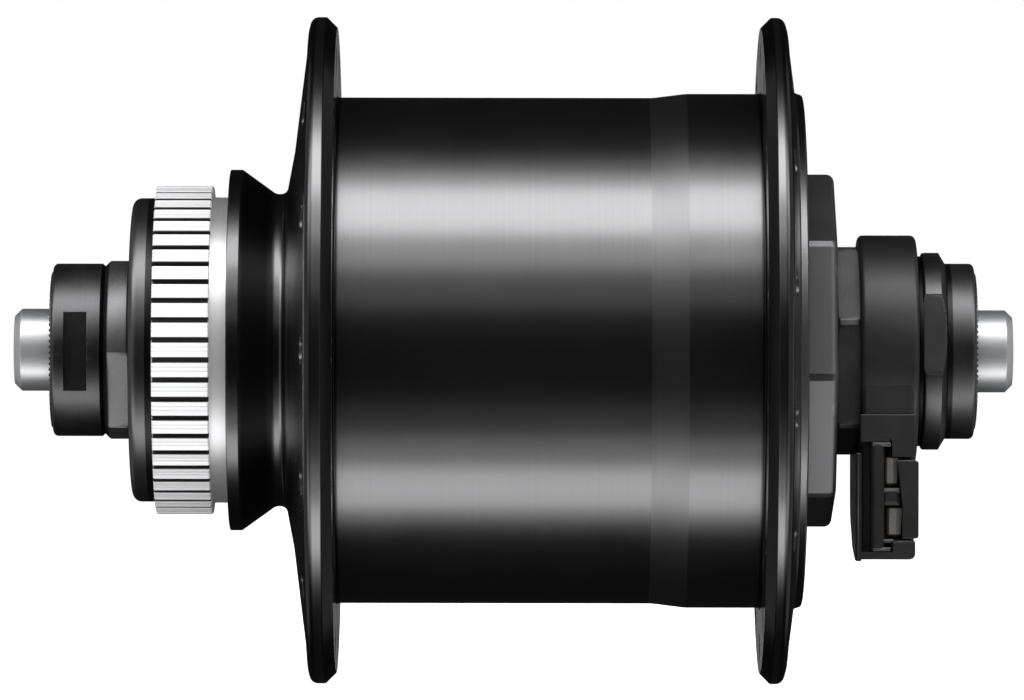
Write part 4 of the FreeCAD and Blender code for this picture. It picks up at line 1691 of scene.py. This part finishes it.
@dataclass
class Studio:
    """Floor, lights and camera. The camera stands at the height of the axle and looks along +X."""

    distance: float = 0.95
    aside: float = 0.00016
    raised: float = 0.00006
    roll: float = 0.1
    lens: float = 308.0
    clip: float = 0.01
    floor_z: float = -0.0362
    floor_size: float = 14.0
    floor_dark: tuple[float, ...] = (0.80, 0.80, 0.80, 1)
    floor_light: tuple[float, ...] = (0.84, 0.84, 0.84, 1)
    floor_mottle: float = 30.0
    floor_detail: float = 3.0
    floor_roughness: float = 0.9
    dim: float = 0.006
    lights: tuple[Softbox, ...] = STUDIO_LIGHTS

    def build(self) -> None:
        """Sets the stage."""
        self._world()
        self._floor()
        self._camera()
        for light in self.lights:
            bpy.context.scene.collection.objects.link(light.light())

    def _world(self) -> None:
        """White behind the hub, and dim everywhere that only lights or mirrors see."""
        world = bpy.data.worlds.new("studio")
        bpy.context.scene.world = world
        world.use_nodes = True
        tree = world.node_tree
        seen = tree.nodes["Background"]
        dim = tree.nodes.new("ShaderNodeBackground")
        for background, strength in ((seen, 1.0), (dim, self.dim)):
            background.inputs["Color"].default_value = WHITE
            background.inputs["Strength"].default_value = strength
        path = tree.nodes.new("ShaderNodeLightPath")
        mix = tree.nodes.new("ShaderNodeMixShader")
        tree.links.new(path.outputs["Is Camera Ray"], mix.inputs[0])
        tree.links.new(dim.outputs[0], mix.inputs[1])
        tree.links.new(seen.outputs[0], mix.inputs[2])
        tree.links.new(mix.outputs[0], tree.nodes["World Output"].inputs[0])
        bpy.context.scene.view_settings.view_transform = "Standard"

    def _floor(self) -> None:
        """Pale floor under the flanges, which takes a faint shadow and stays out of the reflections."""
        half = self.floor_size / 2
        corners = np.array([[[-half, -half, 0], [-half, half, 0]], [[half, -half, 0], [half, half, 0]]])
        floor = Skin.grid((corners + [0, 0, self.floor_z]) / MM).object("floor")
        graph = Graph("pale_floor")
        place = graph.node("TexCoord").outputs["Object"]
        pattern = {"Vector": place, "Scale": self.floor_mottle, "Detail": self.floor_detail}
        mottle = graph.node("TexNoise", pattern).outputs[0]
        graph.shade("Base Color", graph.blend(mottle, self.floor_dark, self.floor_light))
        graph.shade("Roughness", self.floor_roughness)
        graph.shade("Emission Color", WHITE)
        graph.shade("Emission Strength", 1.0)
        floor.data.materials.append(graph.material)
        floor.visible_glossy = False
        floor.visible_diffuse = False
        floor.visible_shadow = False

    def _camera(self) -> None:
        """Camera in front of the hub's middle."""
        camera = bpy.data.objects.new("camera", bpy.data.cameras.new("camera"))
        camera.data.lens = self.lens
        camera.data.clip_start = self.clip
        camera.location = (-self.distance, self.aside, self.raised)
        level = Vector((1, 0, 0)).to_track_quat("-Z", "Y").to_matrix()
        camera.rotation_euler = (level @ Matrix.Rotation(math.radians(self.roll), 3, "Z")).to_euler()
        bpy.context.scene.collection.objects.link(camera)
        bpy.context.scene.camera = camera


def main() -> None:
    """Builds every sub-assembly in order, then the studio."""
    logging.basicConfig(level=logging.INFO, format="%(name)s: %(message)s")
    parts = (
        Axle(), LockNuts(), Bearings(), Connector(), Stator(), Rotor(), HubShell(), DiscMount(), EndCover(),
        Studio(),
    )
    for part in parts:
        part.build()
        log.info("%s built", type(part).__name__)


if __name__ == "__main__":
    main()
